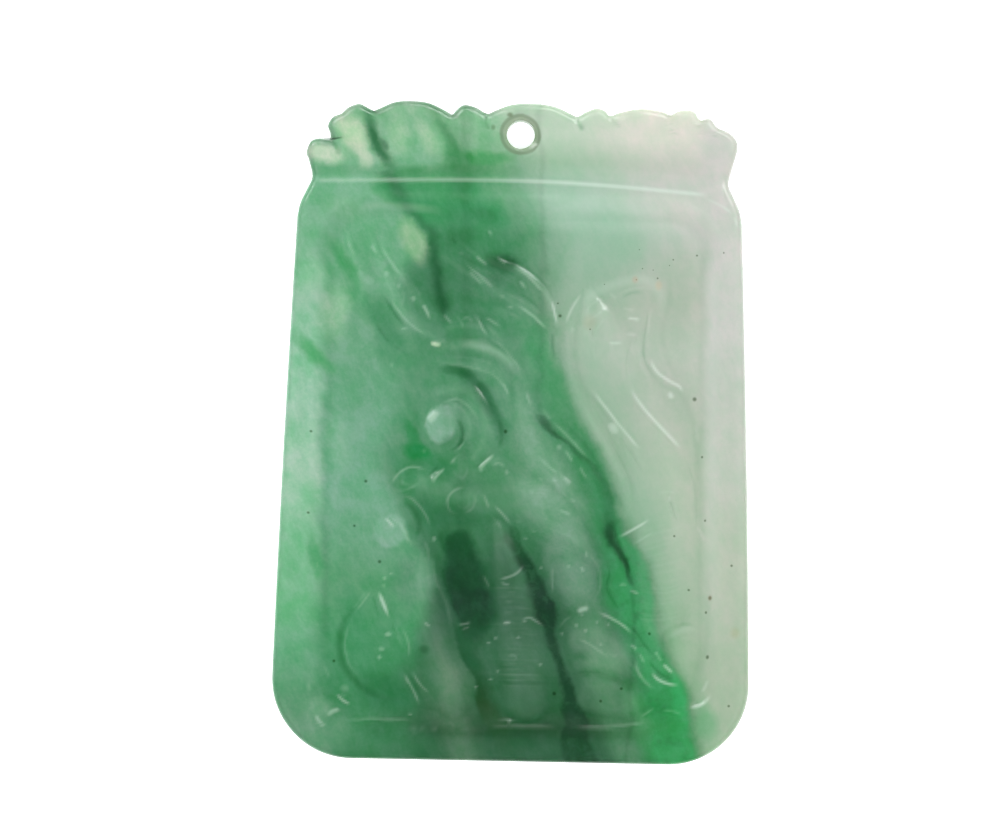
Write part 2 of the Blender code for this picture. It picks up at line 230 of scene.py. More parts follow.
# The even mesh fills the front up to the border, narrower over its upper third
top_y = FIELD_HIGH_Y - (FIELD_HIGH_Y - FIELD_CORNER_Y) * np.abs(2 * across - 1) ** 4
field_y = FIELD_LOW_Y + (top_y - FIELD_LOW_Y) * up
narrow = np.clip((field_y - 10) / 8, 0, 1)
half = FIELD_HALF_LOW + (FIELD_HALF_HIGH - FIELD_HALF_LOW) * narrow * narrow * (3 - 2 * narrow)
field_x = half * (2 * across - 1)
flat = np.column_stack([field_x * MM, field_y * MM, np.full(len(field_x), front_z)])
plaque.data.vertices.foreach_set("co", flat.ravel())
inner = np.zeros((len(outline), 2))
rim = numbers >= 0
inner[numbers[rim] % len(outline)] = np.column_stack([field_x, field_y])[rim]
reach = np.hypot(*(outline - inner).T)[:, None]

RIM_ROUND = 0.5         # depth of the rounded front rim
RIM_REACH = 0.8         # how far in from the outline the rounding begins
BACK_ROUND = 0.3        # radius of the rounded edge of the back
BORDER_RINGS = 6
BORDER_END = 0.8        # the last ring of the border is this far in from the outline
rings = [(inner + (outline - inner) * (1 - BORDER_END / reach) * (k + 1) / BORDER_RINGS, THICKNESS)
         for k in range(BORDER_RINGS)]
rings += [(outline + (inner - outline) * inset / reach, THICKNESS)
          for inset in (0.5, 0.3, 0.16, 0.06, 0.012, 0)]
rings += [(outline, THICKNESS * share) for share in (0.72, 0.45, 0.18)]
rings += [(outline + (inner - outline) * BACK_ROUND * (1 - math.cos(turn)) / reach,
           BACK_ROUND * (1 - math.sin(turn)))
          for turn in np.radians((0, 30, 60, 90))]

# Its edge is extruded ring by ring: out over the border, down the side and round to the flat back
bpy.ops.object.mode_set(mode="EDIT")
bpy.ops.mesh.select_mode(type="EDGE")
bpy.ops.mesh.select_all(action="DESELECT")
bpy.ops.mesh.select_non_manifold(extend=False)
for ring, level in rings:
    bpy.ops.mesh.extrude_edges_move()
    shell = bmesh.from_edit_mesh(plaque.data)
    at = shell.verts.layers.int["place"]
    for v in shell.verts:
        if v.select:
            x, y = ring[v[at]]
            v.co = (x * MM, y * MM, level * MM)
    bmesh.update_edit_mesh(plaque.data)
bpy.ops.mesh.edge_face_add()
bpy.ops.mesh.select_all(action="SELECT")
bpy.ops.mesh.normals_make_consistent(inside=False)
bpy.ops.object.mode_set(mode="OBJECT")
plaque.data.attributes.remove(plaque.data.attributes["place"])


# ---- Plaque: the carving ---------------------------------------------------------------------------------
# The front is ground down inside a raised border, with a cove all round, and the dragon is left standing
# in low relief, no higher than the border. Its lines are cut with a fine wheel, and all of it is polished.

count = len(plaque.data.vertices)
coordinates = np.empty(count * 3, np.float32)
plaque.data.vertices.foreach_get("co", coordinates)
coordinates = coordinates.reshape(-1, 3).astype(float)
carved = np.flatnonzero(coordinates[:, 2] > front_z - 1e-7)
ground_x, ground_y = coordinates[carved, 0] / MM, coordinates[carved, 1] / MM
height = np.full(len(carved), THICKNESS)
painted_highlights = np.zeros(len(carved))        # painted highlights: glints on ridges and beads, and pale bands of light
painted_shade = np.zeros(len(carved))        # painted shade: deep green laid in grooves, hollows and along contours


def ease(t):
    """0 to 1 along a soft step."""
    t = np.clip(t, 0, 1)
    return t * t * (3 - 2 * t)


def follow(path, reach):
    """What lies near a path: which places, how far off, the share along it, and its other columns there."""
    path = np.asarray(path, float)
    low, high = path[:, :2].min(0) - reach, path[:, :2].max(0) + reach
    near = np.flatnonzero((ground_x > low[0]) & (ground_x < high[0])
                          & (ground_y > low[1]) & (ground_y < high[1]))
    x, y = ground_x[near], ground_y[near]
    best = np.full(len(near), 1e9)
    share, extra = np.zeros(len(near)), np.zeros((len(near), path.shape[1] - 2))
    for k, (start, end) in enumerate(zip(path, path[1:])):
        along = end[:2] - start[:2]
        t = ((x - start[0]) * along[0] + (y - start[1]) * along[1]) / max(along @ along, 1e-9)
        t = np.clip(t, 0, 1)
        d = np.hypot(x - start[0] - t * along[0], y - start[1] - t * along[1])
        nearer = d < best
        best[nearer] = d[nearer]
        share[nearer] = (k + t[nearer]) / (len(path) - 1)
        extra[nearer] = start[2:] + t[nearer, None] * (end[2:] - start[2:])
    return near, best, share, extra


def form(points, top, edge=1, blend=0.06):
    """Leaves a form standing: (x, y, half width) along it, its top over the floor, its edge's softness."""
    path = smooth(points, 6)
    near, d, _, half = follow(path, path[:, 2].max() + 0.2)
    half = np.maximum(half[:, 0], 0.05)
    # A narrow form stands lower than a broad one
    rise = FLOOR_Z + top * np.clip(half / 1.5, 0.05, 1) ** 1.25 * ease((1 - d / half) / edge)
    old = height[near]
    mix = np.clip(0.5 + 0.5 * (rise - old) / blend, 0, 1)
    height[near] = np.where(d < half, old + (rise - old) * mix + blend * mix * (1 - mix), old)


STROKE = 0.5            # how much of a line's nominal height the polish has left
FINEST = 0.19           # half the width of the finest line that the mesh can hold


def line(points, width, rise, taper=0.3, pale=0.65):
    """A thin ridge (rise over 0) or a wheel-cut groove (rise under 0), finer towards its ends; a ridge also
    gets a painted highlight.
    """
    path = smooth(points, 6)
    near, d, share, _ = follow(path, width)
    ends = ease(np.minimum(share, 1 - share) / taper + 0.05)
    t = np.clip(d / np.maximum(width / 2 * (0.6 + 0.4 * ends), FINEST), 0, 1)
    height[near] += rise * STROKE * ends * (1 - t * t) ** 2
    # A painted highlight along the ridge
    pale *= min(1, width / 0.36)        # the finest lines catch less light
    painted_highlights[near] = np.maximum(painted_highlights[near], pale * rise * ends * (1 - t * t) ** 2)


def stripe(points, width, amount, taper=0.3):
    """A soft stripe along a line: painted light where the amount is over 0 and painted deep-green shade
    where it is under 0.
    """
    near, d, share, _ = follow(smooth(points, 6), width / 2)
    ends = ease(np.minimum(share, 1 - share) / taper)
    t = np.clip(2 * d / width, 0, 1)
    into = painted_highlights if amount > 0 else painted_shade
    into[near] = np.maximum(into[near], abs(amount) * ends * (1 - t * t) ** 2)


def fan(first, last, number, width, rise, wander=0.15, seed=1, trim=0.15):
    """Lines laid side by side from one guide line to another, each a little off its place and length."""
    dice = np.random.default_rng(seed)
    first, last = np.array(first, float), np.array(last, float)
    for k in range(number):
        share = (k + 0.5 + dice.uniform(-wander, wander)) / number
        path = spread(smooth(first + (last - first) * share), 60)
        start, stop = dice.uniform(0, trim, 2)
        line(path[int(60 * start):60 - int(60 * stop):5], width, rise * dice.uniform(0.5, 1.2), 0.5)


def bead(x, y, half_x, half_y, rise, turn=0, full=0.8, pale=0.4):
    """A small dome, turned by so many degrees, or, with rise under 0, a dimple; a dome also gets a painted
    highlight.
    """
    a = math.radians(turn)
    near = np.flatnonzero(np.hypot(ground_x - x, ground_y - y) < max(half_x, half_y))
    u, v = ground_x[near] - x, ground_y[near] - y
    u, v = u * math.cos(a) + v * math.sin(a), v * math.cos(a) - u * math.sin(a)
    dome = np.clip(1 - (u / half_x) ** 2 - (v / half_y) ** 2, 0, 1) ** full
    height[near] += rise * STROKE * dome
    # A painted highlight on the dome
    painted_highlights[near] = np.maximum(painted_highlights[near], pale * rise * dome)


# Border, cove and floor: the floor has a rounded oblong outline, and the cove sweeps up to the border
PANEL_DEPTH = 0.66
FLOOR_Z = THICKNESS - PANEL_DEPTH
COVE = 2.3
PANEL_LOW_Y, PANEL_HIGH_Y = -24.5, 18.3
PANEL_HALF_LOW, PANEL_HALF_HIGH = 16.1, 15.7
PANEL_CORNER = 3.4
middle_y = (PANEL_LOW_Y + PANEL_HIGH_Y) / 2
up_share = (ground_y - PANEL_LOW_Y) / (PANEL_HIGH_Y - PANEL_LOW_Y)
panel_half = PANEL_HALF_LOW + (PANEL_HALF_HIGH - PANEL_HALF_LOW) * up_share
unsteady = 0.12 * np.sin(ground_y * 0.55 + 1) * np.sin(ground_y * 0.21 + 0.4 + ground_x * 0.05)
off_x = np.abs(ground_x) - (panel_half + unsteady - PANEL_CORNER)
off_y = np.abs(ground_y - middle_y) - ((PANEL_HIGH_Y - PANEL_LOW_Y) / 2 - PANEL_CORNER)
outside = np.hypot(np.maximum(off_x, 0), np.maximum(off_y, 0)) + np.minimum(np.maximum(off_x, off_y), 0)
outside -= PANEL_CORNER
at_base = ease((-18.5 - ground_y) / 5.5)
height -= PANEL_DEPTH * (1 - ease((outside + 0.35 + 1.25 * at_base) / (COVE + 1.3 * at_base)))

# The top edge of the border is a low sharp crest, and over it a hollow runs from ear to ear
BORDER_TOP_Y = 21.15
HOLLOW_DEPTH = 0.2
EDGE_RISE, EDGE_HALF_WIDTH = 0.075, 0.29
border_line = BORDER_TOP_Y + 0.18 * np.cos((ground_x + 2) / 6.5) - 0.0022 * np.clip(ground_x, 0, 20) ** 2
over_border = ground_y - border_line
height -= HOLLOW_DEPTH * ease((over_border - 0.3) / 1.5) * (1 - 0.85 * ease((over_border - 1.8) / 2.4))
ridge = ease(1 - np.abs(over_border) / EDGE_HALF_WIDTH)
ridge = ridge * ease((17.7 + ground_x) / 1.2) * ease((16.2 - ground_x) / 1.6)
height += EDGE_RISE * ridge
# A painted highlight along the crest, and painted shade in the hollow over it
painted_highlights = np.maximum(painted_highlights, ridge * (0.3 + 0.22 * ease((ground_x + 4) / 8)))
hollow = ease((over_border - 0.25) / 0.35) * ease((1.55 - over_border) / 0.5) * ease((4 - ground_x) / 8)
painted_shade = np.maximum(painted_shade, 0.3 * hollow)
height += 0.03 * ease(1 - np.abs(over_border + 0.62) / 0.3) * ease((8 - np.abs(ground_x - 4)) / 6)

# Rounded rim, from the distance to the outline
closed_outline = np.vstack([outline, outline[:1]])
rim_near, rim_d, _, _ = follow(closed_outline, 1)
rim_share = np.clip(1 - rim_d / RIM_REACH, 0, 1)
height[rim_near] -= RIM_ROUND * (1 - np.sqrt(np.clip(1 - rim_share**2.2, 0, 1)))

bare = height.copy()     # the front as ground out, before any of the dragon is shaped

# Soft folds run in from the notches between the scallops
line(((-12.8, 27.1), (-12.95, 26.2), (-12.3, 24.8), (-11.4, 23.2)), 1, -0.16)
line(((-7.6, 27), (-6.7, 25.9), (-5.9, 24.5), (-4.9, 23.3)), 1, -0.14)
line(((-3, 27), (-3, 26.2), (-2.6, 25.4)), 0.8, -0.2)
line(((4.6, 26.9), (4.9, 26.2), (5.4, 25.5)), 0.9, -0.24)
line(((7.6, 27), (7.9, 26.4), (8.6, 26)), 0.8, -0.2)
line(((-16.2, 24.6), (-15.6, 23.8), (-15.4, 23)), 0.8, -0.26)
line(((13, 27.1), (12.6, 26.4), (12.9, 25.6), (13.7, 25.3)), 0.5, -0.2)
line(((15.2, 26.7), (15, 26), (15.5, 25.4)), 0.5, -0.2)
line(((16.6, 26.1), (16.4, 25.4), (16.9, 24.8)), 0.5, -0.2)

# ---- Broad forms: coil, tail end, neck, shoulder, haunch and thigh
form(((6, 12, 0.5), (6.7, 9.8, 1.8), (7.2, 7.4, 2.8), (8.4, 4.4, 3.1), (10.4, 1.2, 3.3), (12, -2.4, 3.4),
      (12.5, -6.5, 3.3), (12.5, -10.6, 3.3), (12.4, -13.6, 3.2), (12.4, -15.6, 2.4)), 0.28, 0.7)
form(((14.6, -17.4, 1.3), (14.6, -18.6, 1.6), (14.6, -20, 1.3)), 0.15, 0.9)
form(((-1.4, -8, 1), (-0.6, -11, 2), (0.2, -14.4, 2.9), (0.8, -18, 3.1), (1.2, -21.4, 3.1),
      (1.4, -24.4, 2.6)), 0.3, 0.9)
form(((-7.6, -10.6, 0.8), (-7.4, -13.2, 1.8), (-6.9, -16.4, 2.2), (-6.2, -19.4, 2.3), (-5.2, -22, 2.2),
      (-4.6, -24.4, 1.8)), 0.28, 0.9)
form(((7, -22.4, 2.3), (8.4, -22.4, 2.6), (9.6, -22.8, 2.1)), 0.2, 0.7)
form(((5.9, -17.6, 2), (7, -17.7, 2.5), (8.3, -18.3, 2.1), (9.6, -19.3, 1.3), (10.8, -20.4, 0.6)),
     0.26, 0.8)
form(((4.5, 9.2, 0.4), (4.4, 6.8, 0.6), (4.9, 4.4, 0.75), (6.3, 1.6, 0.85), (7.9, -1.3, 0.9),
      (9.2, -3.8, 0.9), (9.9, -6, 0.6)), 0.24, 0.9)
form(((6, 4.8, 0.4), (7, 3.2, 0.6), (8.6, 1.2, 0.7), (10, -0.6, 0.7), (11.4, -2.8, 0.5)), 0.24, 0.9)
form(((9.9, 7.4, 0.4), (9.9, 5.8, 0.55), (10.2, 4.4, 0.5)), 0.3, 0.9)

# ---- Head: muzzle, brow, mane, and the curl on the snout with its ball
form(((-3.6, -5.8, 2), (-1.2, -5.6, 2.4), (1.6, -5.8, 2.7), (3.8, -7, 2.5), (5.6, -8.8, 1.6),
      (6.6, -10.4, 0.7)), 0.32, 0.9)
form(((-9.3, -4.3, 1), (-8, -4.4, 1.4), (-6.4, -4.8, 1.7), (-4.8, -5.4, 1.8), (-3.6, -6.2, 1.4)),
     0.25, 0.95)
form(((0, 4.4, 0.6), (0.4, 2.4, 1.3), (0.8, 0.2, 1.7), (2, -2, 1.8), (4, -4.2, 1.5), (5.8, -6.4, 1.1),
      (7, -8.8, 0.6)), 0.26, 0.95)
form(((-6.6, 3.2, 0.6), (-5.4, 3.5, 0.9), (-4, 3.2, 1.1), (-3, 2.1, 1.15), (-2.6, 0.5, 1.15), (-2.8, -1, 1),
      (-3.5, -2.2, 0.7)), 0.24, 1)
form(((-5.6, 2.3, 0.4), (-4.6, 1.9, 0.6), (-3.9, 0.9, 0.7), (-3.8, -0.4, 0.6)), 0.26, 1)
form(((-4.75, -2.1, 0.35), (-4.6, -3, 0.55), (-4.5, -3.8, 0.4)), 0.32, 0.8)
form(((-4.75, -5.7, 1.05), (-4.45, -6, 1.1)), 0.28, 0.8)
form(((-2.9, -3.2, 0.4), (-2.2, -2.6, 0.5), (-1.5, -2.3, 0.4)), 0.34, 0.9)


def ball(x, y, half_x, half_y, top, turn=0, flat=1.8):
    """A boss that stands that high over the floor, fairly flat on top and round at its edge."""
    a = math.radians(turn)
    u, v = ground_x - x, ground_y - y
    u, v = u * math.cos(a) + v * math.sin(a), v * math.cos(a) - u * math.sin(a)
    r = np.hypot(u / half_x, v / half_y)
    inside = r < 1
    rise = FLOOR_Z + top * ease(1.05 * (1 - r[inside] ** flat))
    height[inside] = np.maximum(height[inside], rise)


ball(-6.45, 0.45, 1.7, 1.64, 0.18)
ball(-10.35, -8.6, 1.75, 1.6, 0.14, -25)
ball(4.85, -12.45, 2.3, 2.2, 0.16)
# The glint on the snout's ball: a low ridge with a strong painted highlight
line(((-7.4, 0.6), (-7, 1.2), (-6.5, 1.75)), 0.95, 0.13, 0.25, 2)

# ---- Horn and hair, in bands that sweep back from the brow
form(((-0.7, 2.9, 0.4), (-1.1, 4.2, 0.7), (-2.2, 5.2, 0.7), (-4, 5.75, 0.55), (-6.8, 5.9, 0.3)), 0.26, 1)
form(((0.7, 4.2, 0.3), (-0.2, 5.7, 0.6), (-1.6, 6.8, 0.7), (-3.4, 7.2, 0.7), (-5.4, 7.1, 0.5)), 0.28, 0.95)
form(((0.4, 5.4, 0.3), (-1, 7.4, 0.7), (-2.4, 8.6, 0.9), (-4, 9, 0.9), (-5.8, 8.8, 0.6)), 0.24, 1)
form(((-6.4, 7.6, 0.4), (-7.8, 8.4, 0.7), (-9.2, 9.6, 0.8), (-10.4, 11.2, 0.8), (-11.3, 13, 0.7),
      (-12.2, 15, 0.6), (-12.8, 16.6, 0.3)), 0.26, 1)
form(((-6.4, 9.4, 0.4), (-7.8, 10.4, 0.7), (-9, 11.8, 0.8), (-10.2, 13.6, 0.7), (-11.3, 15.4, 0.5),
      (-11.8, 16.6, 0.2)), 0.24, 1)
form(((-13.2, 11, 0.4), (-13.4, 12.8, 0.8), (-14, 14.6, 0.6), (-14.6, 16.2, 0.3)), 0.24, 0.9)
form(((2.7, 8.7, 0.3), (1.2, 10, 0.7), (-0.6, 11.2, 0.9), (-2.6, 12.4, 1), (-4.6, 13.6, 0.9),
      (-6.4, 14.8, 0.5)), 0.25, 0.95)
form(((3.3, 9.3, 0.3), (2.8, 11, 0.6), (1.6, 12.6, 0.8), (0, 13.6, 0.8), (-1.8, 14.2, 0.8), (-3.6, 15, 0.6),
      (-5, 16, 0.3)), 0.26, 0.95)
fan(((-7.2, 14.6), (-5.4, 13.2), (-2.8, 11.8), (0.4, 10.4), (2.6, 8.9)),
    ((-6.4, 11.4), (-4.8, 11), (-2.4, 10.4), (0, 9.6), (2.2, 8.4)), 6, 0.34, 0.05, seed=4, trim=0.5)
fan(((-6.8, 15.6), (-5, 14.6), (-3, 13.4), (-0.6, 12.2), (1.8, 10.6)),
    ((-4.6, 15.6), (-3.2, 14.8), (-1.2, 13.6), (0.8, 12.4), (2.6, 10.6)), 6, 0.3, 0.05, seed=14, trim=0.5)

# ---- Lines round the curl and the face
line(((-6.6, 5.1), (-5.6, 5.25), (-4.7, 5.1), (-3.9, 4.75), (-3.2, 4.1), (-2.7, 3.3), (-2.3, 2.4),
      (-1.8, 1.5), (-1.3, 0.7), (-0.9, 0.1)), 1.2, -0.14)
line(((-1.5, 1.2), (-1.2, 0.2), (-1.2, -0.8), (-1.5, -1.6)), 0.7, -0.16)
line(((-6.6, 2.25), (-5.8, 2.55), (-5, 2.72), (-4.4, 2.45), (-3.9, 2), (-3.4, 1.45), (-3, 0.85)), 0.3, 0.13)
line(((-3.75, 3.95), (-3.2, 3.35), (-2.7, 2.7), (-2.2, 2.05)), 0.28, 0.09)
line(((-5.4, 1.05), (-4.8, 0.75), (-4.5, 0.1), (-4.55, -0.8), (-5, -1.4), (-5.8, -1.7)), 0.55, -0.26)
line(((-8.3, 2.8), (-8.5, 1.4), (-8.4, -0.2), (-7.7, -1.3), (-6.6, -1.7)), 0.9, -0.08)
line(((-10.55, -4.75), (-10.15, -4.1), (-9.6, -3.5), (-8.8, -3.12), (-8, -3.22), (-7.35, -3.5)), 0.36, 0.15)
line(((-10.3, -5), (-9.6, -5.15), (-8.9, -4.95), (-8.2, -4.6)), 0.3, 0.07)
bead(-8.9, -4.1, 0.85, 0.5, -0.16, -10)
line(((-7.05, -4.3), (-6.5, -3.75), (-5.85, -3.05)), 0.4, 0.2)
line(((-7.6, -4.1), (-7, -3.5), (-6.4, -2.9)), 0.36, -0.14)
line(((-5.5, -2.9), (-5.25, -2.5), (-4.9, -2.1)), 0.3, 0.12)
line(((-5.3, -3.1), (-4.9, -3.7), (-4.4, -4), (-4.05, -3.4), (-4.2, -2.5)), 0.26, 0.08)
line(((-3.05, -3.3), (-2.5, -2.65), (-1.65, -1.85)), 0.36, 0.2)
line(((-1.95, -2.85), (-1.35, -2.65), (-0.8, -2.95)), 0.28, 0.13)
line(((-9.9, -5.55), (-9, -5.65), (-8.3, -6.1), (-7.7, -6.8), (-7.25, -7.6), (-7.1, -8.3)), 0.26, 0.12)
line(((-9.8, -6.1), (-8.8, -6.5), (-8.2, -7.3), (-8.05, -8.4), (-8.2, -9.4)), 0.8, -0.18)
line(((-3.9, -4.75), (-4.8, -4.9), (-5.45, -5.4), (-5.65, -6.1), (-5.35, -6.8), (-4.7, -7.1)), 0.28, 0.12)
line(((-3.4, -5.2), (-3.3, -5.9), (-3.6, -6.6), (-4.3, -7)), 0.26, 0.06)
bead(-4.3, -6, 0.45, 0.45, -0.1)
line(((-2.6, -5.2), (-2.35, -5.9), (-2.1, -6.6)), 0.36, 0.1)
line(((-1.7, -6.2), (-1.15, -6.75), (-0.65, -7.3), (-0.25, -7.8)), 0.32, 0.18)
line(((-2, -7), (-1.4, -7.6), (-1, -8.3)), 0.26, 0.07)
line(((-9.9, -7.5), (-9.45, -8.2), (-9.05, -9), (-8.85, -9.9)), 0.6, 0.14)
line(((-10.95, -7.45), (-10.5, -7.85), (-10.05, -8.35)), 0.34, 0.16, 0.3, 1.8)
line(((-10.5, -7.3), (-10.1, -7.65), (-9.75, -8.1)), 0.24, 0.14)
line(((-9.3, -9), (-8.75, -9.4), (-8.6, -10)), 0.24, 0.1)
line(((-7.6, -9.2), (-7.2, -10.2), (-7.1, -11.2)), 0.5, 0.08)
for x, y, size, rise in ((-2.85, -3.2, 0.26, 0.14), (-0.65, -3.4, 0.22, 0.14), (-6.7, -9.15, 0.24, 0.18),
                         (-6.85, -4.15, 0.26, 0.1), (3.72, -1.2, 0.26, 0.16), (-7.7, -1.7, 0.22, 0.08),
                         (-10.6, 5.5, 0.22, 0.1), (-5.2, -2.6, 0.22, 0.08)):
    bead(x, y, size, size * 1.2, rise)

# ---- Cheek and mane
line(((1.9, -1.9), (2.5, -2.5), (3.2, -3.1), (3.85, -3.5)), 0.28, 0.13)
line(((4, -3.65), (4.4, -4.05), (4.75, -4.4)), 0.3, 0.14)
line(((4.2, -1.35), (4.6, -1.95), (4.95, -2.45)), 0.3, 0.15)
line(((5.5, -2.7), (5.8, -3.3), (6.2, -3.85)), 0.3, 0.12)
line(((2.1, 2.2), (2.6, 1.6), (3, 1.1)), 0.34, 0.08)
line(((2.9, 1.15), (3.6, 0.55), (4.3, -0.1), (5, -0.8), (5.7, -1.55), (6.3, -2.2)), 0.24, 0.13)
line(((2.4, 1.3), (3.2, 0.2), (4.2, -0.8), (5.4, -2), (6.4, -3.4), (7.3, -5), (7.8, -6.6)), 0.4, -0.08)
line(((3.2, 2), (4.4, 0.6), (5.8, -0.8), (7, -2.6), (7.8, -4.2), (8.3, -6), (8.5, -7.6)), 0.7, -0.12)
line(((8.5, -7.4), (8.8, -8.8), (9.5, -10.4), (10.1, -11.8), (10.8, -13)), 0.55, -0.2)
line(((0.85, 3.5), (1.05, 2.8), (1.3, 2.15)), 0.3, 0.16)
line(((1.4, 2), (1.9, 1.2), (2.3, 0.4)), 0.34, -0.1)
fan(((-1.6, -4.1), (0.4, -4.2), (2.4, -4), (4.2, -4.5), (5.4, -5.2)),
    ((-0.6, -6.2), (1, -6.4), (2.8, -6.6), (4.6, -7.2), (6.2, -8)), 8, 0.24, 0.045, seed=3, trim=0.35)
fan(((0.2, -6.4), (1.8, -6.8), (3.4, -7.4), (5, -8.2), (6.4, -9)),
    ((0.9, -9), (2.2, -9.6), (3.6, -10.2), (5.2, -10.6), (6.6, -11)), 9, 0.24, 0.05, seed=13, trim=0.3)
for x, y in ((1.45, -5), (1.75, -8.35), (1.05, -9), (0.4, -7.55), (2.2, -3.95), (3.4, -4), (5, -5.7)):
    bead(x, y, 0.28, 0.16, 0.1, -20)
line(((3.8, -6.5), (4.3, -6.7), (4.9, -6.95)), 0.28, 0.15)
line(((6.3, -9.9), (6.2, -10.2), (6.3, -10.6)), 0.24, 0.12)

# ---- Horn and hair strands
line(((-4.9, 7.3), (-3.9, 7.6), (-3, 7.7), (-2.2, 7.4)), 0.26, 0.06)
line(((-2.4, 7.9), (-1.7, 7.6), (-1, 7), (-0.4, 6.3), (0.1, 5.6), (0.5, 4.8)), 0.28, 0.14)
line(((-2, 7), (-1.2, 6.4), (-0.6, 5.7), (-0.2, 5)), 0.26, 0.09)
line(((-1.4, 7.4), (-0.6, 6.7), (0, 5.9)), 0.22, -0.08)
line(((-3.75, 10), (-3.3, 9.4), (-2.9, 8.7), (-2.4, 8)), 0.3, 0.12)
line(((-3.2, 9.7), (-2.8, 8.8), (-2.2, 8.1)), 0.46, -0.2)
line(((-2.75, 9.7), (-2.2, 9.4), (-1.4, 8.9)), 0.28, 0.17)
line(((-6, 6.2), (-4.4, 6.25), (-3, 6), (-1.9, 5.6)), 0.24, 0.05)
line(((-7, 5.9), (-5.2, 5.6), (-3.4, 5.3), (-2, 4.8), (-1.1, 3.9), (-0.5, 3)), 0.36, 0.07)
line(((-1.15, 4.2), (-0.85, 3.6), (-0.6, 3.1)), 0.34, 0.12)
line(((-11.1, 11.6), (-10.5, 10.6), (-9.8, 9.7), (-9, 8.9), (-8.2, 8.35), (-7.6, 8)), 0.36, 0.13)
line(((-11.4, 11.4), (-10.8, 10.4), (-10.1, 9.4), (-9.4, 8.7)), 0.42, -0.18)
line(((-12.1, 9.1), (-11.4, 8.1), (-10.7, 7.3)), 0.5, -0.14)
line(((-10.7, 7.3), (-9.6, 6.6), (-8.4, 6.1)), 0.6, -0.06)
line(((-11.95, 16.2), (-11.5, 15.2), (-10.9, 14.3), (-10.4, 13.6), (-10, 13.1)), 0.28, 0.15)
line(((-11.6, 16), (-11, 14.9), (-10.3, 13.9), (-9.8, 13.2)), 0.3, -0.12)
line(((-14.7, 16.2), (-14.3, 15.4), (-13.9, 14.6)), 0.3, 0.12)
line(((-13.6, 14.4), (-13.7, 13.2), (-13.4, 12)), 0.3, -0.08)
line(((-9.9, 12), (-9.7, 11.2), (-9.9, 10.4)), 0.24, 0.08)
line(((-9.2, 12.6), (-8.6, 11.9), (-8.2, 11.2)), 0.24, 0.07)
line(((-8.1, 10.7), (-7.8, 10.2), (-7.35, 9.3)), 0.44, 0.22)
line(((-6.3, 9.95), (-5.95, 9.5), (-5.55, 9.1)), 0.3, 0.15)
line(((-4.8, 9.45), (-4.25, 9.65), (-3.75, 9.25)), 0.26, 0.1)
line(((-5.4, 9.9), (-4.8, 9.3), (-4.6, 8.6)), 0.24, 0.06)
for x, y, half_x, half_y, rise, turn in (
        (-6.9, 7.4, 0.5, 0.3, 0.18, 0), (-11.2, 13.2, 0.24, 0.3, 0.16, 0),
        (-10.15, 12.2, 0.22, 0.26, 0.18, 0), (-8.9, 11.15, 0.28, 0.3, 0.18, 0),
        (-12.3, 15.3, 0.18, 0.44, 0.18, 30), (-9.65, 8.6, 0.26, 0.16, 0.14, 0),
        (-2.5, 16.9, 0.32, 0.18, 0.14, -50), (0.35, 12.55, 0.2, 0.52, 0.2, 40),
        (-0.65, 10.6, 0.32, 0.15, 0.15, -15), (-1.35, 11.5, 0.3, 0.18, 0.1, -15),
        (-4.9, 15.1, 0.3, 0.2, 0.07, 0), (-12.7, 12.6, 0.5, 0.45, 0.08, 0)):
    bead(x, y, half_x, half_y, rise, turn)
line(((-4.8, 14.5), (-4, 13.8), (-3.2, 13.1), (-2.5, 12.5), (-2.1, 12.2)), 0.28, 0.13)
line(((-4.3, 13.7), (-3.6, 13), (-2.9, 12.4)), 0.26, 0.12)
line(((-3.7, 14.9), (-3.2, 14.5), (-2.6, 14.05)), 0.3, 0.18)
line(((-5.8, 16.5), (-5.3, 15.8)), 0.4, -0.14)
line(((-1.95, 14.95), (-1.5, 14.55), (-1, 14.2)), 0.28, 0.12)
line(((-0.5, 14.1), (0.2, 13.7), (0.8, 13.3), (1.4, 12.7), (1.8, 12.25), (2.3, 11.9)), 0.36, 0.16)
line(((-2.4, 15.2), (-1.4, 14.75), (-0.4, 14.5), (0.6, 14), (1.6, 13.2), (2.4, 12.3), (3, 11.3), (3.5, 10)),
     0.5, -0.1)
line(((2.85, 11.3), (3.1, 10.3), (3.4, 9.2)), 0.36, 0.16, 0.3, 2)
line(((-0.2, 10.9), (0.7, 10.3), (1.4, 9.8), (1.9, 9.3), (2.4, 8.9)), 0.28, 0.17)
line(((1.5, 9.7), (2, 9.2), (2.5, 8.85)), 0.28, 0.1)
line(((-1.3, 12), (0, 11.3), (1.2, 10.6), (2.1, 9.9)), 0.24, 0.07)
line(((-0.4, 12), (1, 11.25), (2, 10.4)), 0.26, -0.08)
line(((3, 8.6), (3, 7.4), (3.3, 6)), 0.5, -0.14)

# ---- Strands and edges of the coil
line(((6.4, 3.9), (7.1, 2.9), (7.9, 1.9), (8.6, 1), (9.4, 0.1), (10.1, -0.7), (10.7, -1.3)),
     0.34, 0.1, 0.2, 3)
line(((5.6, 4.6), (6.4, 3.2), (7.4, 1.8), (8.6, 0.2), (9.8, -1.4), (11.4, -3.6)), 0.44, -0.07)
bead(8.3, 0.5, 0.4, 0.6, 0.1, 35, pale=3)
line(((7.9, 0.9), (8.6, 0.2), (9, -0.4)), 0.24, 0.08)
line(((5.4, 3.4), (6.8, 1.2), (8.2, -1), (9.4, -3), (10.4, -5.2)), 0.4, -0.05)
line(((9, -0.6), (10.2, -2.2), (11.4, -4)), 0.46, -0.1)
line(((9.65, 4.05), (10.2, 3.1), (11, 2.1), (12, 1), (13, 0), (13.6, -0.6), (14.1, -1.1)),
     0.34, 0.12, 0.2, 3.2)
